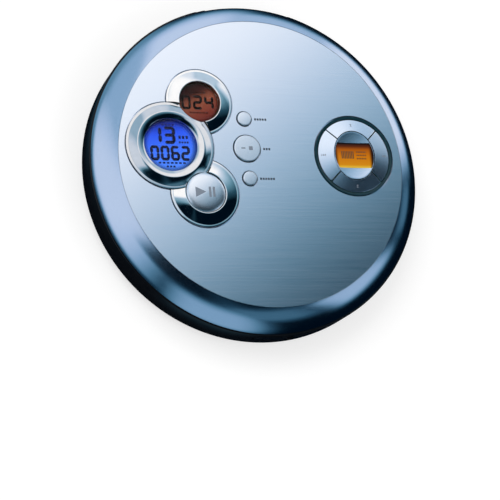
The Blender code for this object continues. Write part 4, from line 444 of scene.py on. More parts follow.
def cad_copy(node):
    """The CAD node's own shape in millimetres, with its loose triangles merged back into faces."""
    bm = bmesh.new()
    bm.from_mesh(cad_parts[node].data)
    bmesh.ops.scale(bm, verts=bm.verts, vec=(1000, 1000, 1000))
    bmesh.ops.remove_doubles(bm, verts=bm.verts, dist=0.0005)
    bmesh.ops.dissolve_limit(bm, angle_limit=math.radians(0.5), verts=bm.verts, edges=bm.edges)
    return bm


def finish_piece(bm, name, body, material, nodes=(), sharp=32.0, round_edges=0.0):
    """Turns a shape into a finished piece in metres that rides on its body and stands for its CAD nodes."""
    bmesh.ops.scale(bm, verts=bm.verts, vec=(MILLIMETRE,) * 3)
    piece = as_object(bm, name, material)
    piece.data.shade_smooth()
    piece.data.set_sharp_from_angle(angle=math.radians(sharp))
    if round_edges:
        edge = piece.modifiers.new("rounded edges", "BEVEL")
        edge.width = round_edges * MILLIMETRE
        edge.segments = 2
        edge.limit_method = "ANGLE"
        edge.angle_limit = math.radians(40)
        edge.harden_normals = False
        piece.modifiers.new("even shading", "WEIGHTED_NORMAL").keep_sharp = True
    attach(piece, body)
    if nodes:
        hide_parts(*nodes)
    return piece


print("shape helpers ready")

# %% [markdown]
# ## Finishes
# One function makes the plain start of a finish, and three more add what a real surface has: a grain that changes
# the gloss, a drift in the colour, and small dents. All of them read Object coordinates, so a pattern stays on its
# piece when the piece moves. Grain is given by its size in millimetres.

# %% Finish helpers
def start_finish(name, colour, roughness, metallic=0.0, **sockets):
    """A material with these plain values, with its tree and shader to build on."""
    material = bpy.data.materials.new(name)
    material.use_nodes = True
    tree = material.node_tree
    shader = tree.nodes["Principled BSDF"]
    shader.inputs["Base Color"].default_value = colour
    shader.inputs["Roughness"].default_value = roughness
    shader.inputs["Metallic"].default_value = metallic
    for key, value in sockets.items():
        shader.inputs[key.replace("_", " ").title().replace("Ior", "IOR")].default_value = value
    return material, tree, shader


def object_place(tree, centre=(0.0, 0.0, 0.0), scale=1000.0):
    """Object coordinates in millimetres from a centre."""
    start = add(tree, "ShaderNodeTexCoord", {}).outputs["Object"]
    factors = scale if isinstance(scale, tuple) else (scale,) * 3
    shift = tuple(-c * f / 1000.0 for c, f in zip(centre, factors))
    return add(tree, "ShaderNodeMapping", {"Vector": start, "Location": shift, "Scale": factors}).outputs["Vector"]


def grain(tree, size, detail=3.0, rough=0.55):
    """Noise whose lumps are this many millimetres across, or as many along X, Y and Z."""
    sizes = size if isinstance(size, tuple) else (size,) * 3
    place = object_place(tree, scale=tuple(1000.0 / s for s in sizes))
    return add(tree, "ShaderNodeTexNoise", {"Vector": place, "Scale": 1.0, "Detail": detail, "Roughness": rough}
               ).outputs["Fac"]


def vary_gloss(tree, shader, value, low, high):
    """Lets a value change the roughness between two levels."""
    tree.links.new(remap(tree, value, 0.30, 0.70, low, high), shader.inputs["Roughness"])


def vary_colour(tree, shader, value, first, second):
    """Lets a value change the colour between two near ones."""
    tree.links.new(ramp(tree, value, ((0.32, first), (0.68, second))), shader.inputs["Base Color"])


def dent(tree, shader, value, depth):
    """Small dents of this depth in millimetres."""
    bump = add(tree, "ShaderNodeBump", {"Height": value, "Strength": 1.0, "Distance": depth * MILLIMETRE})
    tree.links.new(bump.outputs["Normal"], shader.inputs["Normal"])


def plain_finish(name, first, second, size, gloss, depth, metallic=0.0, detail=3.0, **sockets):
    """A finish with drift in its colour and gloss, and small dents, from one grain."""
    material, tree, shader = start_finish(name, first, gloss[0], metallic, **sockets)
    value = grain(tree, size, detail)
    vary_colour(tree, shader, value, first, second)
    vary_gloss(tree, shader, value, *gloss)
    if depth:
        dent(tree, shader, value, depth)
    return material


print("finish helpers ready")

# %% [markdown]
# ## The plain finishes
# Most of the player is moulded plastic or turned metal. Each gets two near colours, a grain size, a range of gloss
# and a depth of dents. The sizes are real: the texture of moulded plastic is a few tenths of a millimetre across.

# %% Plain finishes
deck_grey = plain_finish("fine textured deck", (0.050, 0.053, 0.060, 1), (0.068, 0.072, 0.080, 1),
                         0.25, (0.42, 0.58), 0.03)
moulded_black = plain_finish("fine textured black", (0.018, 0.019, 0.022, 1), (0.028, 0.029, 0.033, 1),
                             0.25, (0.35, 0.50), 0.02)
rubber_black = plain_finish("matt rubber", (0.016, 0.016, 0.017, 1), (0.026, 0.026, 0.027, 1),
                            0.4, (0.75, 0.92), 0.03)
turned_steel = plain_finish("turned steel", (0.50, 0.51, 0.52, 1), (0.60, 0.61, 0.62, 1),
                            0.4, (0.22, 0.34), 0.004, metallic=1.0)
nickel = plain_finish("nickel contact", (0.60, 0.58, 0.52, 1), (0.70, 0.68, 0.62, 1), 0.8,
                      (0.20, 0.34), 0.004, metallic=1.0)
sled_grey = plain_finish("pickup moulding", (0.075, 0.080, 0.090, 1), (0.10, 0.105, 0.115, 1), 0.3,
                         (0.40, 0.52), 0.02)
coated_lens = plain_finish("coated lens", (0.08, 0.10, 0.30, 1), (0.14, 0.10, 0.34, 1), 1.5,
                           (0.03, 0.06), 0.0, coat_weight=1.0)
dark_teal = plain_finish("dark teal gloss", (0.006, 0.030, 0.042, 1), (0.009, 0.042, 0.056, 1), 2.0,
                         (0.16, 0.26), 0.003, specular_ior_level=0.25)
print("plain finishes made")

# %% [markdown]
# ## The case's plastic
# The case is one black moulding with two finishes from one mould: the side band is polished, and the underside has
# the fine texture that hides scratches. So one material changes from matt to gloss with the height.

# %% Case plastic
MATT_BELOW, GLOSS_ABOVE = 1.6, 3.2

side_black, tree, shader = start_finish("gloss black side band", (0.005, 0.006, 0.008, 1), 0.14,
                                        specular_ior_level=0.2)
above = add(tree, "ShaderNodeSeparateXYZ", {0: object_place(tree)}).outputs["Z"]
band = remap(tree, above, MATT_BELOW, GLOSS_ABOVE)
polish = grain(tree, 3.0)
mould_grain = grain(tree, 0.35)
gloss_colour = ramp(tree, polish, ((0.32, (0.004, 0.005, 0.007, 1)), (0.68, (0.006, 0.007, 0.009, 1))))
matt_colour = ramp(tree, mould_grain, ((0.32, (0.026, 0.028, 0.032, 1)), (0.68, (0.040, 0.043, 0.048, 1))))
tree.links.new(mix_colours(tree, band, matt_colour, gloss_colour), shader.inputs["Base Color"])
gloss = add(tree, "ShaderNodeMix", {"Factor": band, 2: remap(tree, mould_grain, 0.3, 0.7, 0.45, 0.60),
                                    3: remap(tree, polish, 0.3, 0.7, 0.10, 0.17)}).outputs[0]
tree.links.new(gloss, shader.inputs["Roughness"])
texture = math_node(tree, "MULTIPLY", mould_grain, math_node(tree, "SUBTRACT", 1.0, band))
dent(tree, shader, texture, 0.03)
print("case plastic made")

# %% [markdown]
# ## Metal finishes
# Chrome is nearly a mirror. The ring of the main display is a little darker and softer than the two small ones. The
# bezel is a silver paint over a curved moulding, a little blue, under a clear coat. The face is sheet metal that was
# brushed from side to side, so its grain is drawn out along X: long streaks that change the gloss a little and tilt
# the surface a little.

# %% Metal finishes
chrome = plain_finish("polished chrome", (0.88, 0.86, 0.84, 1), (0.92, 0.90, 0.88, 1), 2.5,
                      (0.045, 0.085), 0.0, metallic=1.0)
satin_chrome = plain_finish("satin chrome", (0.70, 0.69, 0.69, 1), (0.74, 0.73, 0.73, 1), 2.5,
                            (0.065, 0.105), 0.0, metallic=1.0)
bezel_paint = plain_finish("silver blue bezel", (0.57, 0.64, 0.77, 1), (0.63, 0.70, 0.83, 1), 0.35,
                           (0.13, 0.19), 0.0, metallic=1.0, detail=2.0, coat_weight=0.4, coat_roughness=0.03)
key_silver = plain_finish("silver key", (0.86, 0.88, 0.92, 1), (0.90, 0.92, 0.96, 1), 0.3,
                          (0.27, 0.33), 0.0, metallic=1.0, coat_weight=0.15, coat_roughness=0.10)
pad_silver = plain_finish("pad silver", (0.74, 0.81, 0.91, 1), (0.78, 0.85, 0.95, 1), 0.3,
                          (0.21, 0.27), 0.0, metallic=1.0, coat_weight=0.05, coat_roughness=0.10)

brushed, tree, shader = start_finish("brushed face", (0.84, 0.87, 0.93, 1), 0.23, 1.0)
streak = grain(tree, (26.0, 0.30, 4.0), detail=4.0, rough=0.65)
vary_gloss(tree, shader, streak, 0.21, 0.26)
vary_colour(tree, shader, streak, (0.81, 0.845, 0.915, 1), (0.86, 0.89, 0.95, 1))
dent(tree, shader, streak, 0.007)
print("metal finishes made")

# %% [markdown]
# ## The case
# The lower shell is one moulding: a thin floor that curves up into the side band. It is turned from its section, then
# the walls round the cells and the screw posts are joined to it, and the openings are cut. Each cut has the place
# and the size that the CAD gives it, so the pieces that sit in the openings fit.

# %% Case levels and places
SEAM = 18.3
BAND_LOW = 7.3
CASE_R = 70.0
CASE_IN = 68.3
FLOOR_LOW = 1.0
FLOOR_HIGH = 2.1
DECK_LOW = 17.2
HINGE_Y = 66.2
HINGE_Z = 15.8
CLEAR = 0.3
POST_R = 3.6
SLIDER_Z = 12.5
SWITCH_Z = 11.2
SOCKET_X, SOCKET_Z, SOCKET_R = 16.0, 10.7, 3.3
KNUCKLE_R, KNUCKLE_HALF, PIN_R = 2.1, 7.7, 1.0
ARM_IN, ARM_OUT = 8.0, 15.7
CATCH_X = -14.0
# past the case's side, where a tool may end
BEYOND = 72.0


def middle(node):
    """The middle of a CAD node in plan, in millimetres."""
    low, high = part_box(node)
    return ((low.x + high.x) * 500, (low.y + high.y) * 500)


FEET = {name: middle(name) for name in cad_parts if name.startswith("foot_")}
SCREWS = {name: middle(name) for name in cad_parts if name.startswith("case_screw_")}
door_low, door_high = (corner * 1000 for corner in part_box("battery_door"))
DOOR_LUG = 1.4
DOOR_FRONT, DOOR_BACK = door_low.y, door_high.y - DOOR_LUG
BAY_CENTRE = (DOOR_FRONT + DOOR_BACK) / 2
BAY_WALL = 1.2
BAY_EASE_X, BAY_EASE_Y = 1.4, 0.8
BAY_OUT_X = door_high.x + CLEAR + BAY_EASE_X + BAY_WALL
BAY_OUT_Y = (DOOR_BACK - DOOR_FRONT) / 2 + CLEAR + BAY_EASE_Y + BAY_WALL


def chord(radius, x):
    """How far out in Y a circle round the middle is at x."""
    return math.sqrt(radius * radius - x * x)


def quarter(centre, half_width, half_height, steps=14):
    """Lower quarter of an ellipse, from straight below its centre out to its side."""
    return [(centre[0] + half_width * math.sin(math.pi / 2 * i / steps),
             centre[1] - half_height * math.cos(math.pi / 2 * i / steps)) for i in range(steps + 1)]


print("feet at", FEET)


# %% Case shell
def case_shell():
    """The lower shell with its walls, posts, knuckle and openings."""
    outside = quarter((61.0, BAND_LOW), 9.0, 6.3)
    inside = quarter((61.0, BAND_LOW), CASE_IN - 61.0, BAND_LOW - FLOOR_HIGH, 8)
    rim = [(CASE_R, SEAM - 0.4), (CASE_R - 0.12, SEAM - 0.12), (CASE_R - 0.4, SEAM), (CASE_IN, SEAM)]
    shell = turned([(0.0, FLOOR_LOW)] + outside + rim + inside[::-1] + [(0.0, FLOOR_HIGH)], segments=FINE)
    bay_low, bay_high = FLOOR_LOW + 0.55, FLOOR_HIGH + 10.0
    in_x, in_y = BAY_OUT_X - BAY_WALL, BAY_OUT_Y - BAY_WALL
    bay_walls = cut(block(-BAY_OUT_X, BAY_OUT_X, BAY_CENTRE - BAY_OUT_Y, BAY_CENTRE + BAY_OUT_Y, bay_low, bay_high),
                    block(-in_x, in_x, BAY_CENTRE - in_y, BAY_CENTRE + in_y, bay_low - 1, bay_high + 1))
    posts = [slab(POST_R, FLOOR_LOW + 0.55, DECK_LOW - 3.7, place, SMALL) for place in SCREWS.values()]
    shell = fuse(shell, bay_walls, together(*posts))
    # the gap for the hinge arms, and the knuckle between them
    shell = cut(shell, block(-16.0, 16.0, 62.0, BEYOND, HINGE_Z - 2.4, 20.3))
    shell = cut(shell, block(-20.3, 20.3, 62.0, BEYOND, SEAM - 0.9, 20.3))
    shell = fuse(shell, block(-KNUCKLE_HALF, KNUCKLE_HALF, HINGE_Y - 1.8, CASE_R - 1.15, HINGE_Z - 6.0, HINGE_Z),
                 bar(KNUCKLE_R, -KNUCKLE_HALF, KNUCKLE_HALF, HINGE_Y, HINGE_Z))
    shell = cut(shell, bar(PIN_R, -10.0, 10.0, HINGE_Y, HINGE_Z))
    # screw holes, seats for the feet, and the door's opening
    screw_hole = [(0.0, -1.0), (2.5, -1.0), (2.5, 2.8), (1.3, 2.8), (1.3, DECK_LOW), (0.0, DECK_LOW)]
    tools = [turned(screw_hole, place, SMALL) for place in SCREWS.values()]
    tools += [slab(4.3, -1.0, 1.5, place, SMALL) for place in FEET.values()]
    tools.append(block(door_low.x - CLEAR, door_high.x + CLEAR, DOOR_FRONT - CLEAR, DOOR_BACK + CLEAR, -1.0, 4.1))
    shell = cut(shell, *tools)
    gates = [block(s * 18.0 - 2.8, s * 18.0 + 2.8, DOOR_BACK + 0.5, DOOR_BACK + 3.0, 2.1, 4.8) for s in (-1, 1)]
    shell = cut(shell, *gates)
    # the slots of the slider and the switch, and the two sockets' holes
    sides = [block(-7.3, 10.3, -BEYOND, -64.3, SLIDER_Z - 2.6, SLIDER_Z + 2.6),
             block(64.3, BEYOND, -3.4, 3.4, SWITCH_Z - 1.4, SWITCH_Z + 1.4)]
    for side in (-1, 1):
        sides.append(bar(SOCKET_R, chord(CASE_IN, SOCKET_X) - 2.0, BEYOND, side * SOCKET_X, SOCKET_Z))
    return cut(shell, *sides)


case = finish_piece(case_shell(), "case_moulding", "base", side_black, ["base_shell"])
print("case", len(case.data.polygons), "faces")

# %% [markdown]
# ## The bezel
# The lid is one moulding too: a curved silver ring with a thin web inside it that carries the face, the displays and
# the keys. Its section has many steps here, because its bend is the largest reflection on the whole player. The
# hinge arms and the catch hang from it and move with it.

# %% Places on the face
FACE = 26.0
PLATE_LOW = 25.15
WEB_LOW, WEB_HIGH = 24.05, 24.85
KEY_LOW = 24.45
MAIN, MAIN_R, MAIN_LENS = middle("main_display_cell"), 18.0, 10.6
SMALL_POD, SMALL_R, SMALL_LENS = middle("small_display_cell"), 13.7, 8.2
PLAY, PLAY_R, PLAY_KEY = middle("play_button"), 14.0, 8.0
STOP, STOP_KEY = middle("stop_button"), 5.5
BASS, SKIP, SMALL_KEY = middle("bass_button"), middle("skip_guard_button"), 2.9
PAD, PAD_R = middle("pad_surround"), 17.0
LID_SLOPE_IN = 60.3
# the heights between which a tool passes right through the lid's top
THROUGH = (22.0, 30.0)
print("main pod", MAIN, "small pod", SMALL_POD, "play pod", PLAY, "pad", PAD)


# %% Bezel
def rim_block(x0, x1, inner_y, radius, low, high, side=1.0, steps=12):
    """A block whose outer face follows the round edge of the lid."""
    xs = [x1 + (x0 - x1) * i / steps for i in range(steps + 1)]
    outline = [(x0, side * inner_y), (x1, side * inner_y)] + [(x, side * chord(radius, x)) for x in xs]
    return prism(outline, low, high)


def bezel_shell():
    """The lid's moulding with its web, hinge arms and catch tongue."""
    outside = curve((LID_SLOPE_IN, FACE), (67.5, 23.78), (69.3, 18.6), 28)
    inside = curve((66.9, 18.6), (66.2, 22.96), (61.0, WEB_LOW), 8)
    shell = turned([(0.0, WEB_HIGH), (LID_SLOPE_IN, WEB_HIGH)] + outside + inside + [(0.0, WEB_LOW)], segments=FINE)
    holes = [(MAIN, MAIN_R - 2.2), (STOP, STOP_KEY + CLEAR), (BASS, SMALL_KEY + CLEAR), (SKIP, SMALL_KEY + CLEAR),
             (PAD, PAD_R - 0.8)]
    shell = cut(shell, *[slab(radius, *THROUGH, place) for place, radius in holes])
    shell = cut(shell, slab(SMALL_R - 2.2, *THROUGH, SMALL_POD))
    shell = cut(shell, slab(PLAY_R - 2.2, *THROUGH, PLAY))
    for side in (-1, 1):
        x0, x1 = sorted((side * ARM_IN, side * ARM_OUT))
        shell = fuse(shell, rim_block(x0, x1, HINGE_Y - 1.8, 68.0, HINGE_Z, 20.0),
                     bar(KNUCKLE_R, x0, x1, HINGE_Y, HINGE_Z))
    shell = cut(shell, bar(PIN_R, -18.0, 18.0, HINGE_Y, HINGE_Z))
    catch_y = chord(67.5, CATCH_X) - 1.8
    return fuse(shell, rim_block(CATCH_X - 2.0, CATCH_X + 2.0, catch_y, 67.5, 14.6, 20.0, side=-1.0),
                block(CATCH_X + 1.2, CATCH_X + 2.8, -catch_y - 0.9, -catch_y, 14.6, 15.6))


bezel = finish_piece(bezel_shell(), "bezel_moulding", "lid", bezel_paint, ["lid_shell"])
print("bezel", len(bezel.data.polygons), "faces")


# %% [markdown]
# ## The brushed face
# The face is a thin sheet with round holes for everything that comes up through it. Three of the holes run into each
# other, where the pods overlap. Its outer edge is eased, which draws a bright line round it.

# %% Brushed face
FACE_GAP = 0.45


def face_sheet():
    """The thin round sheet with its holes."""
    edge = LID_SLOPE_IN - 0.1
    sheet = turned([(0.0, PLATE_LOW), (edge, PLATE_LOW), (edge, FACE - 0.10), (edge - 0.03, FACE - 0.03),
                    (edge - 0.1, FACE), (0.0, FACE)], segments=FINE)
    holes = ((MAIN, MAIN_R), (SMALL_POD, SMALL_R), (PLAY, PLAY_R), (PAD, PAD_R), (STOP, STOP_KEY),
             (BASS, SMALL_KEY), (SKIP, SMALL_KEY))
    for place, radius in holes:
        sheet = cut(sheet, slab(radius + FACE_GAP, *THROUGH, place))
    return sheet


face = finish_piece(face_sheet(), "brushed_face", "lid", brushed, ["face_plate"], sharp=10.0)
print("face", len(face.data.polygons), "faces")

# %% [markdown]
# ## The pod rings
# Each display and the play key stands in a chrome ring, a pod. The main one has a lip, a round crest and a raised
# inner rim. The small two are long slopes that the main pod bites into. A bite is a cut with a cylinder that is one
# gap wider than the ring that fits there.

# %% Pod rings
LIP = 26.3


def ring_lip(radius, width):
    """The thin lip round a ring's edge, from the plate up."""
    return [(radius, PLATE_LOW), (radius, LIP - 0.12), (radius - 0.05, LIP - 0.03), (radius - 0.15, LIP),
            (radius - width, LIP)]


def main_ring():
    """A ring with a lip, a round crest and a raised inner rim."""
    bore = MAIN_LENS + CLEAR
    profile = ring_lip(MAIN_R, 1.05)
    profile += curve((16.9, 26.45), (15.3, 27.42), (13.7, 27.88), 24)
    profile += [(13.4, 27.87), (bore + 0.15, 27.28), (bore + 0.04, 27.22), (bore, 27.1), (bore, PLATE_LOW)]
    ring = turned(profile, MAIN, FINE)
    ring = cut(ring, slab(SMALL_LENS + CLEAR, *THROUGH, SMALL_POD))
    return cut(ring, slab(PLAY_KEY + CLEAR, *THROUGH, PLAY))


def sloped_ring(centre, radius, bore):
    """A ring with a thin lip round its edge and a long slope that rises to the bore."""
    profile = ring_lip(radius, 0.85)
    profile += curve((radius - 0.9, 26.4), ((radius - 0.9 + bore) / 2, 27.0), (bore + 0.3, 27.4), 24)
    profile += [(bore + 0.1, 27.36), (bore, 27.2), (bore, PLATE_LOW)]
    return cut(turned(profile, centre, FINE), slab(MAIN_R + CLEAR, *THROUGH, MAIN, FINE))


finish_piece(main_ring(), "main_pod_ring", "lid", satin_chrome, ["main_display_ring"])
finish_piece(sloped_ring(SMALL_POD, SMALL_R, SMALL_LENS + CLEAR), "small_pod_ring", "lid", chrome,
             ["small_display_ring"])
finish_piece(sloped_ring(PLAY, PLAY_R, PLAY_KEY + CLEAR), "play_pod_ring", "lid", chrome,
             ["play_key_ring"])
print("three pod rings made")

# %% [markdown]
# ## The displays
# A display is a glass cell that glows, dark marks just above it, and a clear window over both. The glow isn't even: it
# is brightest on one side and runs dark toward the side that the ring shades, and the cell's outer edge is darker too.
# That dark side and that dark edge are painted shade, from a ramp over Object coordinates.

# %% Display finishes
clear_glass, tree, shader = start_finish("clear window", (0.97, 0.98, 1.0, 1), 0.02, 0.0, transmission_weight=1.0,
                                         ior=1.13)
vary_gloss(tree, shader, grain(tree, 2.0), 0.008, 0.020)


def display_glow_and_painted_shade(name, centre, radius, stops, lean, strength):
    """A lit display whose colour runs along a direction across its face, with painted shade on the side and at the
    edge that the ring shades.
    """
    material, tree, shader = start_finish(name, stops[-1][1], 0.35, specular_ior_level=0.1)
    place = object_place(tree, (centre[0], centre[1], 0.0))
    turn = math.radians(lean)
    direction = (math.cos(turn) / radius, math.sin(turn) / radius, 0.0)
    along = vector_node(tree, "DOT_PRODUCT", place, direction, result="Value")
    cells = grain(tree, 0.6, detail=1.0)
    along = math_node(tree, "ADD", along, math_node(tree, "MULTIPLY", cells, 0.06))
    # painted shade: the stops run dark toward the side of the cell that the ring shades
    colour = ramp(tree, remap(tree, along, -1.0, 1.0, smooth=False), stops)
    # painted shade: the outer fifth of the cell is darkened where the ring shades it
    reach = vector_node(tree, "LENGTH", vector_node(tree, "MULTIPLY", place, (1.0, 1.0, 0.0)), result="Value")
    edge = remap(tree, reach, 0.80 * radius, radius, 1.0, 0.30)
    colour = add(tree, "ShaderNodeVectorMath", {0: colour, "Scale": edge}, operation="SCALE").outputs["Vector"]
    tree.links.new(vector_node(tree, "MULTIPLY", colour, (0.12, 0.12, 0.12)), shader.inputs["Base Color"])
    tree.links.new(colour, shader.inputs["Emission Color"])
    shader.inputs["Emission Strength"].default_value = strength
    return material


# the blue display's stops run dark toward its top, painted shade from the ring
blue_glow_and_painted_shade = display_glow_and_painted_shade("blue display glow with painted shade", MAIN, MAIN_LENS,
                         ((0.0, seen(80, 140, 255)), (0.45, seen(60, 115, 250)), (0.75, seen(38, 85, 235)),
                          (0.92, seen(20, 48, 170)), (1.0, seen(8, 20, 90))), 100.0, 0.9)
# the copper display's stops start dark at its upper left, painted shade of its recess
copper_glow_and_painted_shade = display_glow_and_painted_shade("copper display glow with painted shade", SMALL_POD, SMALL_LENS,
                           ((0.0, seen(24, 6, 6)), (0.25, seen(70, 24, 18)), (0.5, seen(185, 102, 72)),
                            (0.75, seen(165, 76, 56)), (1.0, seen(130, 44, 38))), -65.0, 0.40)
mark_navy = plain_finish("dark display marks", (0.004, 0.006, 0.030, 1), (0.006, 0.010, 0.045, 1), 0.5,
                         (0.4, 0.5), 0.0, specular_ior_level=0.1)
mark_brown = plain_finish("dark brown marks", (0.003, 0.002, 0.002, 1), (0.005, 0.003, 0.002, 1), 0.5,
                          (0.4, 0.5), 0.0, specular_ior_level=0.1)
print("display finishes made")

# %% [markdown]
# ## Digits
# A seven-segment digit is seven short bars with pointed ends. Each bar is a cube that is stretched to size and has
# its end edges bevelled, so a digit is a loop over the bars that are lit. The numbers are plain ones.

# %% Digit helper
LIT = {"0": "abcdef", "1": "bc", "2": "abged", "3": "abgcd", "4": "fgbc", "6": "afgecd"}
# shares of a digit's height and of a tick's pitch
STROKE = 0.185
TICK = 0.62


def pointed_bar(x, y, length, width, low, high, upright):
    """One bar with pointed ends, lying or upright."""
    bm = block(-length / 2, length / 2, -width / 2, width / 2, low, high)
    corners = [e for e in bm.edges if abs(e.verts[0].co.z - e.verts[1].co.z) > (high - low) / 2]
    bmesh.ops.bevel(bm, geom=corners, offset=width * 0.42, offset_type="OFFSET", segments=1, profile=0.5,
                    affect="EDGES", material=-1)
    return moved(swung(bm, math.pi / 2) if upright else bm, (x, y))


def digit(text, x, y, width, height, low, high):
    """The bars of one digit whose lower left corner is at (x, y)."""
    bars = []
    t = height * STROKE
    left, right, centre, mid = x + t / 2, x + width - t / 2, x + width / 2, y + height / 2
    upper, lower = (mid + y + height - t / 2) / 2, (mid + y + t / 2) / 2
    flat_bar, tall_bar = width - t * 0.7, height / 2 - t * 0.45
    spots = {"a": (centre, y + height - t / 2, flat_bar, False), "g": (centre, mid, flat_bar, False),
             "d": (centre, y + t / 2, flat_bar, False), "f": (left, upper, tall_bar, True),
             "b": (right, upper, tall_bar, True), "e": (left, lower, tall_bar, True),
             "c": (right, lower, tall_bar, True)}
    for name in LIT[text]:
        sx, sy, length, upright = spots[name]
        bars.append(pointed_bar(sx, sy, length, t, low, high, upright))
    return bars


def number(text, x, y, width, height, pitch, low, high):
    """A row of digits whose corners are one pitch apart."""
    bars = []
    for i, letter in enumerate(text):
        bars += digit(letter, x + i * pitch, y, width, height, low, high)
    return bars


def tick_row(x0, x1, y, count, height, low, high):
    """A row of small plain marks."""
    pitch = (x1 - x0) / count
    return [block(x0 + i * pitch, x0 + (i + TICK) * pitch, y - height / 2, y + height / 2, low, high)
            for i in range(count)]


print("digits can show", "".join(LIT))


# %% Displays
CELL_LOW = WEB_LOW


def window_disc(radius, top, centre):
    """A clear disc with an eased upper edge."""
    return turned([(0.0, top - 0.6), (radius, top - 0.6), (radius, top - 0.15), (radius - 0.08, top - 0.04),
                   (radius - 0.3, top), (0.0, top)], centre, MEDIUM)


def display(label, centre, radius, window_top, glow, ink, numbers, rows):
    """A glowing cell, a window, and marks between them that are placed and sized in shares of the radius."""
    cell_top = window_top - 0.9
    finish_piece(slab(radius, CELL_LOW, cell_top, centre), label + "_glass_cell", "lid", glow,
                 [label + "_cell"])
    finish_piece(window_disc(radius, window_top, centre), label + "_clear_window", "lid", clear_glass,
                 [label + "_window"])
    x, y = centre
    levels = (cell_top + 0.02, cell_top + 0.10)
    marks = []
    for text, right, up, *sizes in numbers:
        marks += number(text, x + right * radius, y + up * radius, *(size * radius for size in sizes), *levels)
    for start, end, up, count, tall in rows:
        marks += tick_row(x + start * radius, x + end * radius, y + up * radius, count, tall * radius, *levels)
    finish_piece(together(*marks), label + "_marks", "lid", ink)


# numbers: text, corner, width, height and pitch; rows: start, end, height on the display, count and height of a mark
display("main_display", MAIN, MAIN_LENS, 27.1, blue_glow_and_painted_shade, mark_navy,
        (("13", -0.76, 0.05, 0.46, 0.69, 0.53), ("0062", -0.79, -0.60, 0.35, 0.58, 0.395)),
        ((0.35, 0.76, 0.32, 3, 0.12), (0.35, 0.76, 0.12, 4, 0.07), (-0.27, 0.25, 0.80, 4, 0.07),
         (-0.50, 0.60, -0.69, 7, 0.06), (-0.20, 0.18, -0.83, 3, 0.07)))
display("small_display", SMALL_POD, SMALL_LENS, 26.3, copper_glow_and_painted_shade, mark_brown,
        (("024", -0.88, -0.36, 0.49, 0.74, 0.585),), ((-0.45, 0.45, 0.52, 5, 0.08), (-0.50, 0.50, -0.52, 6, 0.08)))
print("displays made")

# %% [markdown]
# ## Keys
# Each key is a shallow dome on straight sides. The play key's symbol lies on its dome: the flat symbol is divided
# into small faces, and then every vertex is lifted to the height that the dome has at its distance from the middle.

# %% Keys
# each key's top: its radius, the height of its edge and the height of its crown
PLAY_TOP = (PLAY_KEY, 27.0, 28.0)
STOP_TOP = (STOP_KEY, 26.4, 26.7)
SMALL_TOP = (SMALL_KEY, 26.4, 26.7)
HIGH_DOME = 0.5
EDGE_ROLL = 0.45
# a symbol's heights before it is laid on its key
FLAT = (0.0, 0.1)


def dome_points(radius, edge, crown, steps=20):
    """The top of a key: a soft dome on the play key, nearly flat with a rolled edge on the small ones."""
    if crown - edge > HIGH_DOME:
        return curve((radius, edge), (radius * 0.88, crown - 0.12), (0.0, crown), steps)
    flat_r, flat_z = radius - EDGE_ROLL, crown - 0.05
    return (curve((radius, edge - 0.1), (radius, flat_z), (flat_r, flat_z), steps // 2)
            + curve((flat_r - 0.05, flat_z), (radius / 2, crown), (0.0, crown), steps // 2))


def dome_height(distance, radius, edge, crown):
    """Height of the dome at a distance from its middle."""
    points = dome_points(radius, edge, crown, 60)
    for (r1, z1), (r0, z0) in zip(points, points[1:]):
        if r0 <= distance <= r1:
            return z0 + (z1 - z0) * (distance - r0) / (r1 - r0)
    return edge


def key_cap(top, centre):
    """A key on straight sides, with its top."""
    radius = top[0]
    profile = [(0.0, KEY_LOW), (radius - 0.2, KEY_LOW), (radius, KEY_LOW + 0.2)]
    return turned(profile + dome_points(*top), centre, MEDIUM)


for key, centre, top in (("play_button", PLAY, PLAY_TOP), ("stop_button", STOP, STOP_TOP),
                         ("bass_button", BASS, SMALL_TOP), ("skip_guard_button", SKIP, SMALL_TOP)):
    finish_piece(key_cap(top, centre), key + "_cap", key, key_silver, [key])


def lay_on_dome(bm, centre, key_top, lift=0.03, sink=0.10):
    """Divides a flat symbol and lays it on a dome, a little proud of it."""
    bmesh.ops.subdivide_edges(bm, edges=[e for e in bm.edges if e.calc_length() > 0.5], cuts=5, use_grid_fill=True)
    bmesh.ops.triangulate(bm, faces=bm.faces)
    top = max(v.co.z for v in bm.verts)
    for v in bm.verts:
        distance = math.hypot(v.co.x - centre[0], v.co.y - centre[1])
        v.co.z = dome_height(distance, *key_top) + (lift if v.co.z > top - 0.01 else -sink)
    return bm


symbol_blue = plain_finish("grey blue print", (0.20, 0.24, 0.30, 1), (0.25, 0.29, 0.35, 1), 0.4,
                           (0.35, 0.45), 0.0)
R = PLAY_KEY
x0, y0 = PLAY
triangle = prism([(x0 - 0.56 * R, y0 - 0.26 * R), (x0 - 0.02 * R, y0), (x0 - 0.56 * R, y0 + 0.26 * R)], *FLAT)
bar_one = block(x0 + 0.12 * R, x0 + 0.24 * R, y0 - 0.26 * R, y0 + 0.26 * R, *FLAT)
bar_two = block(x0 + 0.32 * R, x0 + 0.44 * R, y0 - 0.26 * R, y0 + 0.26 * R, *FLAT)
symbol = together(*[lay_on_dome(part, PLAY, PLAY_TOP) for part in (triangle, bar_one, bar_two)])
finish_piece(symbol, "play_symbol", "play_button", symbol_blue)

dash = block(STOP[0] - 2.6, STOP[0] - 0.9, STOP[1] - 0.25, STOP[1] + 0.25, *FLAT)
square = block(STOP[0] + 0.6, STOP[0] + 2.2, STOP[1] - 0.8, STOP[1] + 0.8, *FLAT)
symbol = together(*[lay_on_dome(part, STOP, STOP_TOP) for part in (dash, square)])
finish_piece(symbol, "stop_symbol", "stop_button", symbol_blue)
print("keys made")

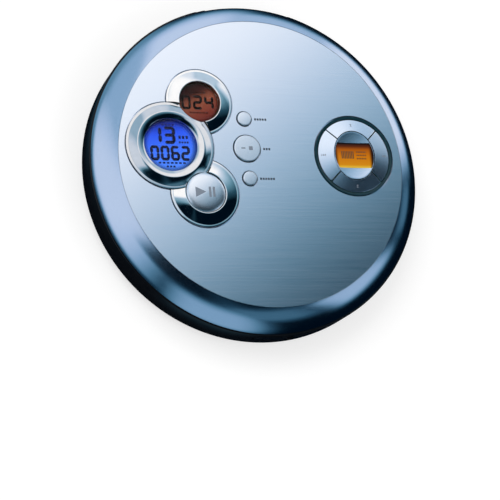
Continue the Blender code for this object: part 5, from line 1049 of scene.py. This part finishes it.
# %% [markdown]
# ## The four-way pad
# The pad's ring is a low dome that two crossing gaps part into four keys. So the dome is turned once as a whole, and
# each key is what is left of it after the other three quarters are cut away with planes. That keeps the dome's
# curve running on from key to key. The hub in the middle is dished and holds a lit window.

# %% Pad keys
PAD_OUT, PAD_CREST_R, PAD_CREST, PAD_SLOPE = 15.6, 9.1, 27.05, 0.169
PAD_HOLE = (9.1, 10.6)
HUB_HALF_X, HUB_HALF_Y = 8.8, 10.3
HUB_LOW, HUB_HIGH = 25.7, 26.9
AMBER_TOP = 26.2
SYMBOL_R = 12.6


def pad_height(distance):
    """Height of the pad's sloping top at a distance from its middle."""
    return PAD_CREST - (distance - PAD_CREST_R) * PAD_SLOPE


def oval(half_width, half_height, steps=FINE):
    turns = [math.tau * i / steps for i in range(steps)]
    return [(PAD[0] + half_width * math.cos(a), PAD[1] + half_height * math.sin(a)) for a in turns]


def pad_quarter(turn):
    """One key of the pad, the quarter of the ring that faces the direction turn."""
    inner = PAD_CREST_R - 0.8
    top = [(PAD_OUT, pad_height(PAD_OUT) - 0.16), (PAD_OUT - 0.05, pad_height(PAD_OUT) - 0.05),
           (PAD_OUT - 0.16, pad_height(PAD_OUT - 0.16))]
    ring = turned([(PAD_OUT, KEY_LOW)] + top + [(inner, pad_height(inner)), (inner, KEY_LOW)], (0.0, 0.0), FINE)
    for side in (-1, 1):
        normal = Vector((math.cos(turn + side * math.radians(135)), math.sin(turn + side * math.radians(135)), 0.0))
        geometry = ring.verts[:] + ring.edges[:] + ring.faces[:]
        sliced = bmesh.ops.bisect_plane(ring, geom=geometry, dist=0.0001, plane_co=-normal * 0.25, plane_no=normal,
                                        clear_outer=True)
        rim = [item for item in sliced["geom_cut"] if isinstance(item, bmesh.types.BMEdge)]
        bmesh.ops.edgeloop_fill(ring, edges=rim)
    bmesh.ops.recalc_face_normals(ring, faces=ring.faces)
    return cut(moved(ring, PAD), prism(oval(*PAD_HOLE), *THROUGH))


PAD_TURNS = {"right": 0.0, "up": math.pi / 2, "left": math.pi, "down": -math.pi / 2}
for side, turn in PAD_TURNS.items():
    finish_piece(pad_quarter(turn), "pad_quarter_" + side, "pad_key_" + side, pad_silver,
                 ["pad_key_" + side], sharp=28.0, round_edges=0.12)
print("pad keys made")


# %% Pad symbols
def pad_symbol(turn, double):
    """A small arrow head, or two, and a bar, that lie on a key's slope and point outward."""
    parts = []
    for i in range(2 if double else 1):
        x = SYMBOL_R + i * 0.8
        parts.append(prism([(x, -0.42), (x + 0.75, 0.0), (x, 0.42)], *FLAT))
    x = SYMBOL_R + (1.7 if double else 0.85)
    parts.append(block(x, x + 0.22, -0.42, 0.42, *FLAT))
    symbol = together(*parts)
    for v in symbol.verts:
        v.co.z = pad_height(math.hypot(v.co.x, v.co.y)) + (0.03 if v.co.z > 0.05 else -0.10)
    return moved(swung(symbol, turn), PAD)


for side, turn in PAD_TURNS.items():
    finish_piece(pad_symbol(turn, side in ("left", "right")), "pad_symbol_" + side, "pad_key_" + side,
                 symbol_blue)
print("pad symbols made")


# %% Pad surround and hub
def window_outline(half_width, full_height, half_height, steps=24):
    """An oval that is cut flat above and below."""
    turn = math.asin(half_height / full_height)
    right = [-turn + 2 * turn * i / steps for i in range(steps + 1)]
    left = [math.pi + a for a in right]
    return [(PAD[0] + half_width * math.cos(a), PAD[1] + full_height * math.sin(a)) for a in right + left]


surround = turned([(15.9, PLATE_LOW), (PAD_R, PLATE_LOW), (PAD_R, 26.1), (16.95, 26.18), (16.8, 26.2),
                   (16.1, 26.05), (15.9, 25.9)], PAD, FINE)
finish_piece(surround, "pad_rim", "lid", dark_teal, ["pad_surround"])


def hub_trim():
    """The dished oval in the middle, with the opening for the window."""
    dish = [(0.0, HUB_LOW), (HUB_HALF_Y, HUB_LOW), (HUB_HALF_Y, HUB_HIGH - 0.12), (HUB_HALF_Y - 0.12, HUB_HIGH)]
    dish += curve((HUB_HALF_Y - 0.3, HUB_HIGH), (6.0, 26.35), (0.0, 26.2), 16)
    trim = turned(dish, segments=FINE)
    bmesh.ops.scale(trim, verts=trim.verts, vec=(HUB_HALF_X / HUB_HALF_Y, 1.0, 1.0))
    return cut(moved(trim, PAD), prism(window_outline(8.55, 9.8, 5.4), *THROUGH))


finish_piece(hub_trim(), "pad_hub_trim", "lid", pad_silver, ["pad_trim"], round_edges=0.06)
finish_piece(prism(oval(8.5, 10.0), CELL_LOW, 25.4), "pad_glass_cell", "lid", moulded_black,
             ["pad_display_cell"])

amber, tree, shader = start_finish("amber window", seen(200, 120, 20), 0.12, 0.0, specular_ior_level=0.15)
place = object_place(tree, (PAD[0], PAD[1], 0.0))
axes = add(tree, "ShaderNodeSeparateXYZ", {0: place})
# the lamp is at the lower edge; the upper edge and the sides are darkened where the trim shades them, which is painted
# shade
rise = remap(tree, axes.outputs["Y"], -5.2, 5.2, smooth=False)
amber_glow_and_painted_top_shade = ramp(tree, rise, ((0.0, seen(225, 190, 60)), (0.12, seen(205, 132, 12)), (0.5, seen(195, 112, 6)),
                              (0.75, seen(165, 84, 4)), (0.88, seen(90, 36, 4)), (1.0, seen(22, 10, 6))))
across = math_node(tree, "ABSOLUTE", axes.outputs["X"])
# painted shade: the window darkens toward its sides, where the trim shades it
amber_with_painted_shade = mix_colours(tree, remap(tree, across, 6.6, 8.2), amber_glow_and_painted_top_shade, seen(40, 16, 4))
tree.links.new(vector_node(tree, "MULTIPLY", amber_with_painted_shade, (0.15, 0.15, 0.15)), shader.inputs["Base Color"])
tree.links.new(amber_with_painted_shade, shader.inputs["Emission Color"])
shader.inputs["Emission Strength"].default_value = 0.9
finish_piece(prism(window_outline(8.4, 9.5, 5.1), HUB_LOW, AMBER_TOP), "pad_lit_window", "lid", amber,
             ["pad_window"], round_edges=0.05)
mark_amber = plain_finish("amber marks", (0.10, 0.040, 0.004, 1), (0.13, 0.050, 0.005, 1), 0.5,
                          (0.4, 0.5), 0.0)
marks = []
for start, end, row, count, tall in ((-5.5, 0.2, 0.3, 8, 3.2), (1.2, 5.6, 1.6, 6, 0.6), (1.2, 5.6, 0.2, 6, 0.6),
                                     (1.2, 5.6, -1.2, 6, 0.6)):
    marks += tick_row(PAD[0] + start, PAD[0] + end, PAD[1] + row, count, tall, AMBER_TOP - 0.01, AMBER_TOP + 0.03)
finish_piece(together(*marks), "pad_window_marks", "lid", mark_amber)
print("pad made")

# %% [markdown]
# ## Print on the face
# Rows of small plain ticks stand beside the three small round keys, in the dark print colour. Ink has almost no
# height, so each tick is a box that stands only 0.03 mm proud of the face, and no edge of it catches the light.

# %% Face marks
print_grey = plain_finish("dark grey print", (0.02, 0.026, 0.036, 1), (0.03, 0.037, 0.048, 1), 0.3,
                          (0.4, 0.5), 0.0, specular_ior_level=0.1)
marks = []
for place, start, count in ((STOP, 7.0, 3), (BASS, 4.4, 5), (SKIP, 4.4, 6)):
    marks += tick_row(place[0] + start, place[0] + start + count * 1.1, place[1], count, 0.9, FACE - 0.02, FACE + 0.03)
finish_piece(together(*marks), "face_ticks", "lid", print_grey)
print("face marks made")

# %% [markdown]
# ## The deck and the turning pieces
# Under the lid lies the deck, a round tray that the disc drops into. It is turned, then cut for the pickup, the
# fingers and the hinge. The pieces that turn or stand on the floor are turned from their sections too.

# %% Deck
TRAY_TOP, WELL_TOP = 18.0, 20.2
TRAY_HOLE, WELL_R, TRAY_R = 16.5, 61.8, 68.0
FINGER_R = 11.0


def deck_tray():
    """The tray with its well, its three rings, its openings and the posts that the screws reach."""
    wall = WELL_R + 1.2
    profile = [(TRAY_HOLE, DECK_LOW), (TRAY_R, DECK_LOW), (TRAY_R, TRAY_TOP), (wall, TRAY_TOP),
               (wall, WELL_TOP - 0.15), (wall - 0.15, WELL_TOP), (WELL_R + 0.15, WELL_TOP),
               (WELL_R, WELL_TOP - 0.15), (WELL_R, TRAY_TOP + 0.4), (59.2, TRAY_TOP + 0.4), (58.8, TRAY_TOP)]
    for ring in (52.0, 40.0, 28.0):
        profile += [(ring + 0.5, TRAY_TOP), (ring + 0.3, TRAY_TOP + 0.12), (ring - 0.3, TRAY_TOP + 0.12),
                    (ring - 0.5, TRAY_TOP)]
    tray = turned(profile + [(TRAY_HOLE, TRAY_TOP)], segments=FINE)
    # openings for the pickup, the hinge and the catch, and two notches for fingers
    tray = cut(tray, block(-61.5, -2.0, -7.0, 7.0, 15.0, 20.0))
    tray = cut(tray, block(-20.3, 20.3, 63.3, 70.0, 15.0, 20.0),
               block(CATCH_X - 3.1, CATCH_X + 3.1, -70.0, -chord(63.3, CATCH_X), 15.0, 20.0))
    for turn in (math.radians(42), math.radians(-42)):
        place = (WELL_R * math.cos(turn), WELL_R * math.sin(turn))
        tray = cut(tray, slab(FINGER_R, TRAY_TOP + 0.4, 24.0, place, SMALL))
    tray = fuse(tray, together(*[slab(2.4, 13.8, 17.6, place, SMALL) for place in SCREWS.values()]))
    return cut(tray, *[slab(1.3, 12.0, 16.3, place, SMALL) for place in SCREWS.values()])


finish_piece(deck_tray(), "disc_tray", "base", deck_grey, ["disc_deck"])
print("deck made")

# %% Turned pieces
for name, place in FEET.items():
    finish_piece(turned([(0.0, 0.0), (3.4, 0.0), (3.8, 0.12), (4.0, 0.4), (4.0, 1.2), (0.0, 1.2)], place, SMALL),
                 name + "_pad", "base", rubber_black, [name])
for name, place in SCREWS.items():
    screw = turned([(0.0, 1.3), (1.9, 1.3), (2.15, 1.4), (2.2, 1.6), (2.2, 2.5), (1.0, 2.5), (1.0, 16.0),
                    (0.0, 16.0)], place, SMALL)
    x, y = place
    screw = cut(screw, block(x - 1.3, x + 1.3, y - 0.22, y + 0.22, 1.0, 2.1))
    screw = cut(screw, block(x - 0.22, x + 0.22, y - 1.3, y + 1.3, 1.0, 2.1))
    finish_piece(screw, name + "_cross_head", "base", turned_steel, [name])
liner = [(0.0, 22.25), (15.1, 22.25), (15.4, 21.95), (17.0, 21.95), (17.3, 22.25), (58.0, 22.25), (58.5, 22.55),
         (58.8, 23.05), (58.8, 23.75), (58.0, 23.75), (58.0, 22.85), (0.0, 22.85)]
finish_piece(turned(liner, segments=FINE), "lid_dish", "lid", deck_grey, ["lid_liner"])
finish_piece(turned([(1.3, 15.5), (4.0, 15.5), (4.0, 13.5), (9.0, 13.5), (9.0, 7.5), (0.0, 7.5), (0.0, 9.5),
                     (1.3, 9.5)], segments=MEDIUM), "spindle_motor_can", "base", turned_steel,
             ["spindle_motor"])
print("turned pieces made")

# %% [markdown]
# ## Pieces that keep their CAD shape
# Many inner pieces are simple, and their CAD shape is right. Each is copied, its loose triangles are merged, and its
# edges get a small bevel, because no real edge is perfectly sharp. Then it gets its own finish. The cell door also
# gets a grip of its own.

# %% Carried-over pieces
board_green = plain_finish("circuit board", (0.016, 0.11, 0.040, 1), (0.030, 0.17, 0.060, 1), 1.2,
                           (0.30, 0.45), 0.01)
cell_orange = plain_finish("cell sleeve", (0.52, 0.26, 0.05, 1), (0.60, 0.33, 0.08, 1), 6.0,
                           (0.25, 0.35), 0.003)
# body, slot, finish, width of the bevel in millimetres, and the pieces that share them
KEPT = (
    ("base", "steel", turned_steel, 0.05, "hinge_pin"),
    ("base", "board", board_green, 0.0, "main_board"),
    ("base", "black_moulding", deck_grey, 0.06, "phones_socket"),
    ("base", "black_moulding", deck_grey, 0.0, "supply_socket"),
    ("base", "cell_sleeve", cell_orange, 0.25, "cell_rear", "cell_front"),
    ("base", "contact", nickel, 0.05, "cell_bridge_contact", "cell_terminal_rear", "cell_terminal_front"),
    ("base", "steel", turned_steel, 0.08, "drive_chassis", "guide_rod"),
    ("base", "rubber", rubber_black, 0.1, "drive_damper_1", "drive_damper_2", "drive_damper_3"),
    ("base", "steel", turned_steel, 0.2, "sled_motor"),
    ("lid", "board", board_green, 0.0, "key_board"),
    ("spindle_hub", "black_moulding", moulded_black, 0.05, "spindle_hub"),
    ("pickup", "sled", sled_grey, 0.1, "pickup_sled"),
    ("pickup", "objective", coated_lens, 0.0, "objective_lens"),
    ("lead_screw", "steel", turned_steel, 0.0, "lead_screw"),
    ("open_slider", "black_moulding", side_black, 0.25, "open_slider"),
    ("hold_switch", "black_moulding", deck_grey, 0.15, "hold_switch"),
    ("battery_door", "side_band", side_black, 0.1, "battery_door"),
)
kept = 0
for body, slot, material, edge, *names in KEPT:
    for node in names:
        finish_piece(cad_copy(node), node + "_eased", body, material, [node], sharp=35.0, round_edges=edge)
        kept += 1
# on the cell door, three ribs for the thumb and an arrow toward the edge that opens
ribs = [block(-9.0, 9.0, door_low.y + y - 0.35, door_low.y + y + 0.35, FLOOR_LOW - 0.25, FLOOR_LOW + 0.2)
        for y in (3.0, 4.6, 6.2)]
arrow = prism([(-2.2, door_low.y + 11.0), (2.2, door_low.y + 11.0), (0.0, door_low.y + 8.4)], FLOOR_LOW - 0.2,
              FLOOR_LOW + 0.2)
finish_piece(together(*ribs, arrow), "battery_door_grip", "battery_door", side_black, round_edges=0.08)
print(kept, "pieces carried over, and a grip on the door")
